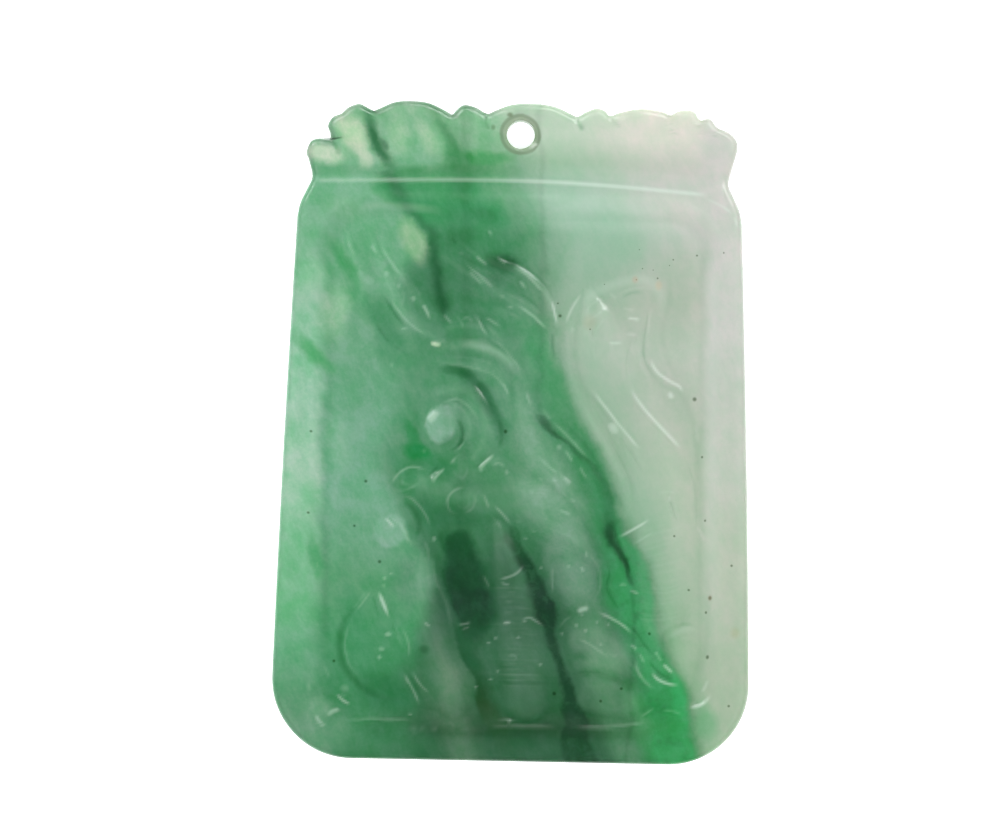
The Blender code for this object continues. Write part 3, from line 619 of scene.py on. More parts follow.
line(((9.2, 4), (9.8, 2.9), (10.8, 1.7), (12, 0.4), (13.2, -0.8), (14, -1.9)), 0.4, -0.05)
line(((14.1, -1.3), (14.7, -2.5), (15.15, -3.8), (15.4, -5.4), (15.45, -7), (15.6, -8.2)), 0.46, -0.09)
line(((11.3, 6.5), (11.6, 5.8), (12.1, 5.2), (12.7, 4.8), (13.3, 4.45), (13.85, 4.15), (14.15, 3.6)),
     0.38, 0.13, 0.2, 3)
bead(13.1, 3.38, 0.26, 0.36, 0.12, 25, pale=3)
line(((15.15, 0.95), (15.35, 0.2), (15.5, -0.6)), 0.26, 0.1)
line(((10.3, 8.6), (10.3, 7.4), (10.5, 6.3), (10.9, 5.3), (11.4, 4.5)), 0.26, 0.06)
line(((11.2, 11.2), (10.95, 9.6), (10.75, 8), (10.75, 6.8), (11.1, 5.8), (11.8, 4.8), (12.8, 4)),
     0.44, -0.08)
line(((11.3, 10.8), (11.15, 9.4), (11.05, 8.2)), 0.34, 0.07)
line(((9.6, 8), (9.3, 6.6), (9.2, 5.4), (9.4, 4.4)), 0.4, -0.08)
line(((9.25, 9.85), (9.8, 9.85), (10.4, 9.7)), 0.34, 0.12, 0.3, 2.5)
line(((7.65, 7.75), (8.3, 7.72), (8.95, 7.8)), 0.34, 0.1, 0.3, 2.5)
line(((9.2, 8.5), (9.7, 8.52), (10.15, 8.45)), 0.32, 0.12)
line(((8.8, 10.8), (9.4, 10.6), (10, 10.6)), 0.3, 0.08)
line(((4.1, 9.2), (4.35, 10.1), (4.8, 11), (5.4, 11.95)), 0.3, 0.1, 0.3, 2.5)
line(((5.5, 9.4), (6.4, 9.9), (7.1, 10.4), (7.6, 10.8)), 0.26, 0.09)
line(((6.6, 8.7), (7, 9.3), (7.3, 9.9)), 0.26, 0.08)
line(((5.6, 10.2), (6.3, 11), (7.4, 11.6)), 0.24, 0.06)
line(((6, 8.9), (6.4, 8.6), (6.2, 8.2)), 0.34, -0.14)
line(((7.7, 12), (8.4, 11.4)), 0.26, 0.09)
line(((8.4, 11.8), (9.4, 12.3), (10.6, 12.5), (12, 12.2)), 0.26, 0.06)
line(((8.6, 11.5), (9.6, 12), (10.6, 12.1)), 0.3, -0.08)
bead(4.65, 8.8, 0.18, 0.32, 0.14)
fan(((5.2, 8.6), (5.2, 6.8), (6, 4.6)), ((8.4, 9.6), (8.2, 7.4), (8.6, 5.2)),
    6, 0.3, 0.04, seed=6, trim=0.4)
fan(((10.6, 4.6), (11.6, 3), (13, 1.4)), ((13, 3), (14, 1.6), (15, 0.2)), 4, 0.3, 0.03, seed=16, trim=0.4)
fan(((9.6, 1), (10.8, -0.8), (12.2, -2.8)), ((12.6, -0.4), (13.6, -1.8), (14.6, -3.6)),
    5, 0.34, -0.035, seed=17, trim=0.4)

# ---- Belly plates of the coil, the hollow between coil and leg, and the end of the tail
line(((8.9, -8.75), (9.8, -8.25), (10.7, -7.7), (11.6, -7.1)), 0.3, 0.13, 0.3, 2.5)
line(((10.15, -9.3), (11, -8.8), (12, -8.1)), 0.24, 0.11)
fan(((9.2, -8.9), (10.8, -8), (12.4, -7.4), (13.8, -7), (15.2, -6.4)),
    ((10.6, -12.2), (12, -12), (13.2, -11.8), (14.4, -11.4), (15.8, -10.6)),
    8, 0.26, 0.055, seed=7, trim=0.2)
fan(((10.2, -11.6), (11.6, -12.2), (13.2, -12.2), (14.6, -11.6), (15.8, -10.8)),
    ((9, -14.6), (11, -15.8), (13, -15.8), (14.8, -15.2), (15.9, -14)), 8, 0.28, 0.05, seed=18, trim=0.2)
line(((12.2, -4.95), (13, -4.75), (13.8, -4.95)), 0.24, 0.08)
line(((12.9, -5.1), (13.3, -5.8), (13.6, -6.6), (14, -7.6)), 0.32, -0.16)
line(((13.1, -5.05), (13.2, -5.65)), 0.28, 0.16)
line(((10.4, -11.9), (11.2, -12.1), (11.9, -12.4), (12.2, -13), (12, -13.7)), 0.5, -0.12)
line(((9, -12.85), (9.4, -12.72), (9.8, -12.8)), 0.24, 0.14)
line(((9.9, -13.2), (10.35, -13.35), (10.8, -13.5)), 0.24, 0.18)
line(((15.5, -7.6), (15.9, -8.2), (16.3, -8.95)), 0.24, 0.12)
line(((12.8, -18.6), (12.8, -17.4), (13.3, -16.5), (14.4, -16), (15.9, -16.1)), 0.6, -0.08)
line(((12.8, -18.2), (13, -19.2), (13.5, -20.2)), 0.5, -0.06)
fan(((13.2, -17), (14.6, -16.7), (16, -17)), ((13.6, -20.4), (14.8, -20.6), (16, -20.6)),
    9, 0.22, -0.025, seed=8, trim=0.2)

# ---- Neck: belly plates down to the lower third of the panel
fan(((-3.2, -13.2), (-1.6, -13), (0.2, -12.9), (1.8, -13.2), (3.2, -13.8)),
    ((-2.8, -21), (-1, -21.2), (0.8, -21.2), (2.4, -21.2), (3.9, -21)), 19, 0.22, 0.05, seed=9, trim=0.45)
fan(((-1.8, -13.4), (0, -13.3), (1.8, -13.6)), ((-1.4, -21), (0.6, -21.2), (2.6, -21.1)),
    14, 0.24, -0.05, seed=19, trim=0.4)
line(((-1.2, -12.5), (-0.4, -12.3), (0.4, -11.9), (1, -11.2)), 0.3, 0.17)
line(((-1.05, -12.7), (-0.6, -12.9), (-0.15, -12.9)), 0.24, 0.12)
line(((-2.5, -12.1), (-2.2, -12.7), (-1.9, -13.3)), 0.24, 0.12)
line(((0.7, -15.9), (1.5, -15.7), (2.1, -16), (2.9, -16.5)), 0.24, 0.16)
line(((-0.75, -16.2), (-0.4, -16.2), (-0.05, -16.1)), 0.32, 0.2)
line(((-1.6, -21.1), (0, -21.25), (1.8, -21.25), (3.9, -21.1)), 0.26, -0.14)
line(((-1.2, -19.85), (0.4, -19.85), (2.6, -19.6)), 0.22, -0.08)
line(((-0.3, -19.1), (0.05, -18.9), (0.45, -19.1), (0.1, -19.45)), 0.2, 0.08)
for x, y in ((-1.35, -17.5), (0.6, -17.4), (-1.1, -20.3), (-1.7, -21), (2.4, -11.45), (2.5, -19.65),
             (1.1, -16), (-2.9, -21.65), (-1.9, -17.9)):
    bead(x, y, 0.22, 0.16, 0.14, 10)
line(((-4.6, -16.45), (-4, -16.35), (-3.4, -16.2)), 0.24, 0.15)
line(((-4.25, -16.85), (-3.9, -16.7), (-3.5, -16.6)), 0.22, 0.12)

# ---- Shoulder, leg and claws
line(((-6.75, -9.8), (-6.75, -11.2), (-6.6, -12.4), (-6.1, -13.5), (-5.5, -14.8), (-5.2, -16.2),
      (-5.05, -17.4)), 0.46, 0.05)
line(((-6, -10.2), (-5.9, -12), (-5.5, -13.4), (-5, -14.8), (-4.8, -16.4), (-4.5, -18), (-3.9, -19.4),
      (-3, -20.9), (-2.4, -22.4), (-2, -24)), 0.6, -0.1)
line(((-7.45, -16.3), (-7.15, -16.45), (-6.9, -16.65)), 0.28, 0.18)
line(((-8.4, -23.2), (-7.2, -23.6), (-5.8, -23.8)), 0.3, -0.05)
line(((4, -16.6), (4.5, -15.9), (5.2, -15.4)), 0.26, 0.07)
line(((7.2, -15.05), (8, -15.4), (8.8, -15.8), (9.5, -16.25), (10.3, -16.95)), 0.36, 0.15, 0.3, 1.4)
line(((9.4, -15.6), (10.4, -16.6), (11.4, -17.9), (12.4, -19.1)), 0.5, -0.2)
line(((5.5, -17.35), (6.4, -17.7), (7.2, -18.2), (8.5, -19.05)), 0.24, 0.13)
line(((8, -18.1), (8.3, -18.6), (8.8, -18.8), (9.2, -18.5)), 0.24, 0.06)
line(((5.5, -15.2), (6, -14.9), (6.6, -14.75)), 0.7, 0.16, 0.3, 1.4)
line(((5.7, -15.5), (6.2, -15.3)), 0.24, 0.12)
line(((10.1, -17.8), (10.4, -18), (10.7, -18.3)), 0.3, 0.2)
line(((10.85, -18.5), (11.1, -18.9), (11.35, -19.4)), 0.26, 0.15)
line(((10.5, -18.9), (10.8, -20), (11.4, -20.9), (12.3, -21.65)), 0.46, 0.12)
line(((11.9, -20.1), (12.5, -20.7), (13.3, -21.05), (14.35, -21.2)), 0.36, 0.18, 0.3, 1.8)
line(((12.9, -19.35), (13.3, -19.75), (13.8, -20.2)), 0.44, 0.2, 0.3, 1.6)
line(((12.3, -18.4), (12.6, -18.9), (12.9, -19.2)), 0.24, 0.12)
line(((11.6, -19), (12.2, -19.8), (13, -20.4), (13.9, -20.8)), 0.4, -0.2)
# Painted light along the haunch's lower edge, and painted shade under it
stripe(((4.6, -19.9), (5.8, -19.5), (7, -19.4), (8.4, -19.7), (9.6, -20.2), (10.8, -20.7)), 1.1, 0.05)
line(((4.9, -20.6), (6, -20.25), (7.2, -20.2), (8.6, -20.6), (9.8, -21.1), (10.8, -21.5)), 0.5, -0.1)
stripe(((4.9, -20.8), (6, -20.5), (7.2, -20.4), (8.6, -20.8), (9.8, -21.3), (10.8, -21.7)), 0.8, -0.3)
for x, y in ((7.25, -15.95), (8.2, -16.15), (5.5, -16.25), (4.3, -17), (7.6, -17.85), (12.35, -18.5),
             (6.3, -16.7)):
    bead(x, y, 0.18, 0.18, 0.16)
line(((6.35, -10.1), (7, -10.9), (7.45, -12), (7.4, -13.2), (6.9, -14.1)), 0.34, 0.07)
line(((7.95, -10.4), (8.2, -11.8), (8, -13), (8.6, -14.2), (9.6, -15.4)), 0.4, -0.18)
bead(4.75, -11.25, 0.18, 0.18, 0.14)
line(((5.75, -11.2), (5.9, -11.5), (6.05, -11.75)), 0.26, 0.18)
line(((3.4, -11.2), (3.35, -12.4), (3.5, -13.8)), 0.3, 0.09)

# ---- Pearl
drop = ((-12, -13.4), (-13.2, -14.9), (-14.1, -16.2), (-14.5, -17.4), (-14.5, -18.8), (-14.1, -20.1),
        (-13.2, -21.3), (-11.9, -22.3), (-10.2, -22.9), (-8.6, -23))
line(drop, 0.9, -0.12)
# Painted shade along the groove round the pearl
stripe(drop, 1.1, -0.42, 0.4)
line(((-11.95, -13.65), (-12.6, -14.6), (-13.3, -15.5)), 0.2, 0.13)
line(((-12.2, -13.55), (-12.9, -14.5), (-13.5, -15.3)), 0.18, 0.09)
line(((-11.35, -13.6), (-11.1, -14.3), (-10.75, -15.1), (-10.35, -16.1)), 0.5, 0.3, 0.4, 1.2)
line(((-11.8, -13.9), (-11.6, -14.8), (-11.2, -15.8)), 0.3, -0.1)
line(((-10.2, -16.2), (-9.9, -17), (-9.3, -17.5)), 0.34, -0.12)
line(((-9.4, -16.6), (-8.9, -17.5), (-8.65, -18.4), (-8.65, -19.4)), 0.34, 0.12)
line(((-13.7, -16.2), (-14, -17.4), (-14.1, -18.6), (-13.7, -20), (-12.9, -21.1)), 0.26, 0.06)
for x, y, half_x, half_y, rise, turn in (
        (-10.45, -17.35, 0.34, 0.24, 0.24, 10), (-11, -18.6, 0.34, 0.26, 0.16, 0),
        (-11.15, -19.3, 0.2, 0.22, 0.2, 30), (-10.85, -12.6, 0.2, 0.24, 0.2, 0),
        (-10.35, -12.2, 0.18, 0.16, 0.16, 0), (-10.9, -13.2, 0.16, 0.22, 0.1, 0)):
    bead(x, y, half_x, half_y, rise, turn)
line(((-9.15, -20.4), (-8.6, -21.4), (-8.05, -22.4), (-7.65, -23.4)), 0.24, 0.17)
line(((-9, -20.9), (-8.6, -21.6)), 0.3, 0.1)
line(((-8.4, -20.3), (-7.9, -21.2), (-7.3, -21.9), (-6.75, -22.3)), 0.22, 0.16)
line(((-8.8, -20.3), (-8.2, -21.5), (-7.5, -22.6)), 0.24, -0.08)
line(((-9.9, -16.3), (-9.6, -17.4), (-9.2, -18.6)), 0.3, 0.05)
bead(-7.2, -18.6, 0.5, 0.45, -0.08)

# ---- Lower edge of the panel and its corners, where the wheel ran past
line(((-14.2, -24.75), (-13, -24.7), (-11.8, -24.55), (-10.4, -24.65), (-9, -24.6), (-7.8, -24.75)),
     0.2, 0.09)
line(((-7.7, -25.25), (-6.9, -25.1), (-6, -25.3)), 0.2, 0.14, 0.2)
line(((-4.4, -25.3), (-3.2, -25.15), (-2, -25.1), (-0.8, -24.95), (0.6, -24.9), (2.2, -24.95), (4.2, -25)),
     0.2, 0.1, 0.1)
line(((-1.2, -24.55), (-0.2, -24.45), (0.8, -24.42)), 0.2, 0.1)
line(((5.2, -25.1), (6.6, -24.95), (8.4, -24.85), (10.2, -24.65), (11.8, -24.4)), 0.2, 0.1, 0.2)
# Painted shade along the lower cove
for x in (-8, 2):
    stripe(((x, -25.55), (x + 5, -25.5), (x + 10.5, -25.4)), 1.5, -0.42, 0.25)
line(((11, -24), (11.6, -23.6), (12.3, -23.1)), 0.24, 0.12)
line(((12.9, -23.35), (13.8, -23.4), (14.6, -23.7)), 0.26, 0.1)
line(((4.1, -25), (4.3, -25.3), (4.5, -25.5)), 0.2, -0.12)
line(((15.1, -23.05), (16, -22.95), (16.6, -22.5), (17, -21.9)), 0.36, 0.12, 0.3, 2.5)
line(((16.2, -21.8), (16.5, -21.3), (16.75, -20.6)), 0.34, 0.08, 0.3, 2.5)
line(((-16.5, -24.2), (-16.15, -24.8), (-15.6, -25.3)), 0.5, 0.14, 0.3, 1.8)
line(((-15.6, -24.4), (-15, -24), (-14.3, -23.8)), 0.6, 0.1, 0.3, 1.8)
line(((-14.75, -22.45), (-14.2, -23), (-13.5, -23.4)), 0.34, 0.17, 0.3, 1.6)
line(((-14.4, -22.4), (-13.9, -22.8)), 0.22, 0.12)
line(((-15.85, -20), (-15.6, -20.6), (-15.35, -21.2)), 0.22, 0.12)
line(((-16.65, -9.2), (-16.6, -9.9)), 0.22, 0.1)
line(((-16.6, -11.2), (-16.55, -11.8)), 0.22, 0.1)
line(((15.6, 20.15), (16.5, 19.8), (17.3, 19.4), (17.9, 18.9)), 0.4, 0.1, 0.3, 2.4)
line(((17.1, 19.45), (17.5, 19.25), (17.85, 18.95)), 0.34, 0.12, 0.3, 3)
line(((18.1, 18.6), (18.35, 18.2), (18.5, 17.6)), 0.36, 0.1, 0.3, 2.4)

# The inner edge of the border: a soft band of painted light along its shoulder, and painted shade below it
# on the left and low on the right
stripe(((16.2, 17.6), (16.3, 14), (16.4, 8), (16.5, 0), (16.7, -8), (16.9, -16), (16.7, -21)), 2, 0.13)
stripe(((2, 19.4), (6, 19.35), (10, 19.2), (14, 18.9)), 1.8, 0.1)
stripe(((-14.4, 18.7), (-12, 19), (-9, 18.9), (-6, 18.6)), 1.1, 0.12)
stripe(((-16.9, 15), (-16.9, 12.5), (-17, 10)), 1.7, 0.08)
stripe(((-17, 3), (-17, -2), (-17.1, -6)), 1.7, 0.08)
stripe(((-16, -5), (-15.9, -10), (-15.8, -16), (-15.6, -19), (-15, -21.8)), 1.2, -0.14)
stripe(((16.5, -9.5), (16.65, -14), (16.5, -18), (15.9, -21)), 0.8, -0.12)

# Painted light on the coil's crown, the end of the tail and a lock of hair behind the curl, and painted
# shade along the coil's outer contour and at the end of the tail
stripe(((4.2, 9.2), (6, 11.6), (8.6, 12.9), (11, 13.1), (12.2, 11.6), (12.4, 9.3)), 1.3, 0.14)
stripe(((10.9, 7.5), (11.85, 4.65), (13.9, 3.6), (15, 1.4), (15.4, -1.2), (15.6, -5.6), (16.4, -8.5)),
       0.8, -0.14)
stripe(((12.6, 15.2), (12.9, 12), (12.3, 8.6), (13.1, 5.8), (14.6, 4.4)), 0.8, -0.1)
stripe(((12.8, -17.6), (12.95, -19.2), (13.6, -20.6), (14.6, -21.8)), 0.7, -0.14)
stripe(((13.2, -17.3), (14.4, -16.5), (15.9, -16.4)), 0.8, 0.12)
stripe(((-5.4, 7.6), (-3.4, 7.3), (-1.2, 6.4), (0.2, 4.8)), 1.2, 0.14)

# Small bosses left along the base and in its left corner
for x, y, half_x, half_y, rise, turn in (
        (-8.1, -25.4, 0.4, 0.3, 0.1, -20), (-0.05, -24.6, 0.26, 0.26, 0.14, 0),
        (-14.05, -22, 0.45, 0.42, 0.12, 0), (-17.05, -21.9, 0.2, 0.4, 0.08, 15),
        (-8.45, -24.1, 0.22, 0.14, 0.14, 0)):
    bead(x, y, half_x, half_y, rise, turn)

# ---- Cord hole: the worn mouth is lowered here, and the bore is drilled further on
HOLE_X, HOLE_Y, HOLE_RADIUS = -0.05, 25.26, 1.19
MOUTH_X, MOUTH_Y, MOUTH_RADIUS = 0.24, 25.12, 1.6
MOUTH_DEPTH, MOUTH_SLOPE = 0.24, 0.6
bearing = np.arctan2(ground_y - MOUTH_Y, ground_x - MOUTH_X)
from_mouth = np.hypot(ground_x - MOUTH_X, ground_y - MOUTH_Y)
mouth = MOUTH_RADIUS + 0.06 * np.cos(3 * bearing + 1)
height -= MOUTH_DEPTH * np.clip((mouth - from_mouth) / MOUTH_SLOPE, 0, 1.3) ** 1.4

# Painted light where the carving stands over the ground floor, and painted shade where it lies under it and
# on the panel's floor
in_panel = ease((-outside - 0.3) / 1.4)
raised = np.clip((height - bare) / 0.3, -1, 1) - 0.25 * in_panel

# The hand-held polish leaves long low waves on the front, which stands nowhere over the sawn thickness
WAVE, FINE_WAVE = 0.014, 0.007
height += WAVE * np.sin(ground_x * 1.1 + 0.7 * np.sin(ground_y * 0.8)) * np.sin(ground_y * 0.9 + 1.3)
fine_wave = FINE_WAVE * np.sin(ground_x * 2.3 + ground_y * 1.7 + 1.1)
height += fine_wave * np.sin(ground_y * 2.6 - ground_x * 0.6)
height = np.minimum(height, THICKNESS - 0.001)

coordinates[carved, 2] = height * MM
plaque.data.vertices.foreach_set("co", coordinates.astype(np.float32).ravel())
plaque.data.update()

# How far each place stands over the ones round it: what stands out gets painted highlight, what lies lower
# painted shade
LEVELLINGS = 12
STANDS_WELL_OUT = 0.08
sheet = np.zeros((ROWS + 1, COLUMNS + 1))
sheet[row, column] = coordinates[:len(row), 2] / MM
level_out = sheet.copy()
for _ in range(LEVELLINGS):
    level_out[1:-1] = (level_out[:-2] + 2 * level_out[1:-1] + level_out[2:]) / 4
    level_out[:, 1:-1] = (level_out[:, :-2] + 2 * level_out[:, 1:-1] + level_out[:, 2:]) / 4
relief_shading = np.zeros(len(coordinates))
relief_shading[:len(row)] = np.clip((sheet - level_out)[row, column] / STANDS_WELL_OUT, -1, 1)
rim_shade, highlight_places = np.zeros(len(coordinates)), np.zeros(len(coordinates))
# Painted shade on the upper part of the side walls
rim_shade[coordinates[:, 2] > 0.4 * cad_high.z] = 1
rim_shade[carved] = 0

# Painted shade on the rounded rim, darkest round the crest
rim_shade[carved[rim_near]] = ease(1 - rim_d / 0.75) * (0.35 + 0.65 * ease((ground_y[rim_near] - 20) / 3))
highlight_places[carved] = painted_highlights
shade_places, body = np.zeros(len(coordinates)), np.zeros(len(coordinates))
shade_places[carved] = painted_shade
body[carved] = raised
for name, values in (("relief", relief_shading), ("rim", rim_shade), ("painted_highlights", highlight_places),
                     ("painted_shade", shade_places), ("raised", body)):
    plaque.data.attributes.new(name, "FLOAT", "POINT").data.foreach_set("value", values)


# ---- Plaque: the cord hole -------------------------------------------------------------------------------
# Drilled straight through the middle of the crest, with a small flare at the back where the drill broke
# through. The cord has rounded the front mouth.

FLARE, FLARE_DEPTH = 0.42, 1.2
for name, low, high, low_radius, high_radius in (
        ("drill", -1, THICKNESS + 1, HOLE_RADIUS, HOLE_RADIUS),
        ("flare", -0.2, FLARE_DEPTH, HOLE_RADIUS + FLARE, HOLE_RADIUS - 0.07)):
    bpy.ops.object.select_all(action="DESELECT")
    bpy.ops.mesh.primitive_cone_add(vertices=64, radius1=low_radius * MM, radius2=high_radius * MM,
                                    depth=(high - low) * MM,
                                    location=(HOLE_X * MM, HOLE_Y * MM, (low + high) / 2 * MM))
    cutter = bpy.context.object
    cutter.name = name
    bore = plaque.modifiers.new(name, "BOOLEAN")
    bore.object = cutter
    bore.operation = "DIFFERENCE"
    bore.solver = "EXACT"
    bpy.ops.object.select_all(action="DESELECT")
    plaque.select_set(True)
    bpy.context.view_layer.objects.active = plaque
    bpy.ops.object.modifier_apply(modifier=bore.name)
    bpy.data.objects.remove(cutter)
bpy.ops.object.shade_smooth_by_angle(angle=math.radians(50))


# ---- Plaque: the stone -----------------------------------------------------------------------------------
# Jadeite that goes from mint green on the left, through a dark emerald middle, to greyish white on the
# right. The veins run down to the right and go through to the back. Polished to a waxy gloss.

jade = bpy.data.materials.new("green_and_white_jade")
jade.use_nodes = True
tree = jade.node_tree
shader = tree.nodes["Principled BSDF"]


def stone(red, green, blue):
    """A colour as read on a screen, 0 to 255, as the linear colour that a shader takes."""
    return (*(((c / 255 + 0.055) / 1.055) ** 2.4 for c in (red, green, blue)), 1)


def add(kind, sockets=(), tree=tree, **settings):
    """A new node with its settings, and with each input a value or another node's output."""
    made = tree.nodes.new(kind)
    for name, value in settings.items():
        setattr(made, name, value)
    for key, value in dict(sockets).items():
        if isinstance(value, bpy.types.NodeSocket):
            tree.links.new(value, made.inputs[key])
        else:
            made.inputs[key].default_value = value
    return made


def maths(operation, a, b=0, tree=tree):
    """One step of arithmetic on two values."""
    return add("ShaderNodeMath", {0: a, 1: b}, tree, operation=operation).outputs[0]


def vector_maths(operation, sockets, tree=tree):
    """One step of arithmetic on places, which gives another place or, for two operations, a length."""
    made = add("ShaderNodeVectorMath", sockets, tree, operation=operation)
    return made.outputs["Value" if operation in ("LENGTH", "DISTANCE") else "Vector"]


def noise(place, scale, detail, roughness):
    """Noise of that many waves a millimetre: its value and its colour."""
    sockets = {"Vector": place, "Scale": scale, "Detail": detail, "Roughness": roughness}
    return add("ShaderNodeTexNoise", sockets).outputs


def carving(name):
    """What the carving has written at each place of the surface under that name."""
    return add("ShaderNodeAttribute", attribute_name=name).outputs["Fac"]


def ramp(value, low, high, start=0, end=1, tree=tree):
    """A soft step of a value from low to high."""
    return add("ShaderNodeMapRange", {"Value": value, "From Min": low, "From Max": high, "To Min": start,
                                      "To Max": end}, tree, interpolation_type="SMOOTHSTEP").outputs[0]


def over(colour, paint, mask, blend="MIX"):
    """A colour with some paint laid over it where the mask says."""
    mixed = add("ShaderNodeMix", {0: mask, 6: colour, 7: paint}, data_type="RGBA", blend_type=blend)
    return mixed.outputs[2]


# Places in the stone are in millimetres. The pattern leans with the depth, and a noise makes it wander.
SLANT = (0.55, 0.25)    # how far the veins move sideways for each millimetre of depth
CURVE_SPAN = 30         # curve nodes take -1 to 1, so heights and sideways places are divided by this
HALF_SPAN = 5           # and the half widths by this
where = add("ShaderNodeTexCoord").outputs["Object"]
where = vector_maths("SCALE", {0: where, "Scale": 1 / MM})
level = add("ShaderNodeSeparateXYZ", {0: where}).outputs["Z"]
depth = maths("SUBTRACT", FLOOR_Z, level)
lean = add("ShaderNodeCombineXYZ", {"X": maths("MULTIPLY", depth, -SLANT[0]),
                                    "Y": maths("MULTIPLY", depth, SLANT[1])}).outputs[0]
within = vector_maths("ADD", {0: where, 1: lean})


def wander(place, scale, reach, detail):
    """Places moved about by a noise of that many waves a millimetre, by up to that reach."""
    shift = noise(place, scale, detail, 0.55)["Color"]
    shift = vector_maths("SUBTRACT", {0: shift, 1: (0.5, 0.5, 0.5)})
    shift = vector_maths("SCALE", {0: shift, "Scale": 2 * reach})
    return vector_maths("ADD", {0: place, 1: shift})


veined = wander(within, 0.35, 0.75, 5)
place_x, place_y, _ = add("ShaderNodeSeparateXYZ", {0: veined}).outputs
curve_y = maths("DIVIDE", place_y, CURVE_SPAN)
curve_place = add("ShaderNodeCombineXYZ", {"X": curve_y, "Y": curve_y, "Z": curve_y}).outputs[0]


def run(points):
    """Three values that change down the stone, from rows (y, x, half width, strength)."""
    bent = add("ShaderNodeVectorCurve", {"Vector": curve_place})
    bent.mapping.extend = "HORIZONTAL"
    for column, span in enumerate((CURVE_SPAN, HALF_SPAN, 1)):
        curve = bent.mapping.curves[column]
        rows = sorted((row[0] / CURVE_SPAN, row[column + 1] / span) for row in points)
        curve.points[0].location, curve.points[1].location = rows[0], rows[-1]
        for place in rows[1:-1]:
            curve.points.new(*place)
    bent.mapping.update()
    x, half, strength = add("ShaderNodeSeparateXYZ", {0: bent.outputs[0]}).outputs
    return maths("MULTIPLY", x, CURVE_SPAN), maths("MULTIPLY", half, HALF_SPAN), strength


def vein(points, sharp=2):
    """How much of a vein there is at a place: full along its middle, and less the further off."""
    x, half, strength = run(points)
    off = maths("DIVIDE", maths("SUBTRACT", place_x, x), maths("MAXIMUM", half, 0.05))
    fall = maths("POWER", maths("ABSOLUTE", off), sharp)
    return maths("MULTIPLY", strength, maths("EXPONENT", maths("MULTIPLY", fall, -0.9)))


def band(points, left_edge, right_edge):
    """How much of a broad vein there is: rows (y, left, width, strength), and how soft its edges are."""
    left, width, strength = run(points)
    off_left = maths("SUBTRACT", place_x, left)
    begun = ramp(off_left, -left_edge, left_edge)
    ended = ramp(maths("SUBTRACT", off_left, width), right_edge, -right_edge)
    return maths("MULTIPLY", strength, maths("MULTIPLY", begun, ended))


def right_of(points):
    """0 on the left of a line down the stone and 1 on its right, with the half width as the soft edge."""
    x, half, _ = run([(*row, 0) for row in points])
    return ramp(maths("DIVIDE", maths("SUBTRACT", place_x, x), half), -1, 1)


def by_height(stops):
    """A colour that changes down the stone: rows (y, (red, green, blue))."""
    share = add("ShaderNodeMapRange", {"Value": place_y, "From Min": -CURVE_SPAN, "From Max": CURVE_SPAN})
    made = add("ShaderNodeValToRGB", {0: share.outputs[0]})
    elements = made.color_ramp.elements
    while len(elements) < len(stops):
        elements.new(0.5)
    for element, (y, shade) in zip(elements, sorted(stops)):
        element.position = (y + CURVE_SPAN) / (2 * CURVE_SPAN)
        element.color = stone(*shade)
    return made.outputs[0]


patch_group = bpy.data.node_groups.new("patch", "ShaderNodeTree")
for socket_name in ("X", "Y", "X Along", "Y Along", "Start Along",
                    "X Aside", "Y Aside", "Start Aside", "Core"):
    patch_group.interface.new_socket(socket_name, in_out="INPUT", socket_type="NodeSocketFloat")
patch_group.interface.new_socket("Mask", in_out="OUTPUT", socket_type="NodeSocketFloat")


def times_plus(a, b, c, tree):
    """The first value times the second, plus the third."""
    return add("ShaderNodeMath", {0: a, 1: b, 2: c}, tree, operation="MULTIPLY_ADD").outputs[0]


handed = add("NodeGroupInput", tree=patch_group).outputs
along = times_plus(handed["Y"], handed["Y Along"], handed["Start Along"], patch_group)
along = times_plus(handed["X"], handed["X Along"], along, patch_group)
aside = times_plus(handed["Y"], handed["Y Aside"], handed["Start Aside"], patch_group)
aside = times_plus(handed["X"], handed["X Aside"], aside, patch_group)
far = times_plus(along, along, maths("MULTIPLY", aside, aside, patch_group), patch_group)
far = maths("SQRT", far, tree=patch_group)
add("NodeGroupOutput", {0: ramp(far, 1, handed["Core"], tree=patch_group)}, patch_group)
within_x, within_y, _ = add("ShaderNodeSeparateXYZ", {0: within}).outputs


def patch(x, y, half_x, half_y, turn=0, core=0.1, place=(place_x, place_y)):
    """A soft round patch: 1 in its core, that share of its size, and 0 at its edge."""
    sockets = {"X": place[0], "Y": place[1], "Core": core}
    a = math.radians(turn)
    for name, along_x, along_y in (("Along", math.cos(a) / half_x, math.sin(a) / half_x),
                                   ("Aside", -math.sin(a) / half_y, math.cos(a) / half_y)):
        sockets["X " + name], sockets["Y " + name] = along_x, along_y
        sockets["Start " + name] = -(x * along_x + y * along_y)
    return add("ShaderNodeGroup", sockets, node_tree=patch_group).outputs[0]


def patched(colour, patches, place=(place_x, place_y)):
    """Patches over a colour: rows (x, y, half width, half height, turn, core, strength, colour)."""
    for x, y, half_x, half_y, turn, core, strength, shade in patches:
        mask = maths("MULTIPLY", patch(x, y, half_x, half_y, turn, core, place), strength)
        colour = over(colour, stone(*shade), mask)
    return colour


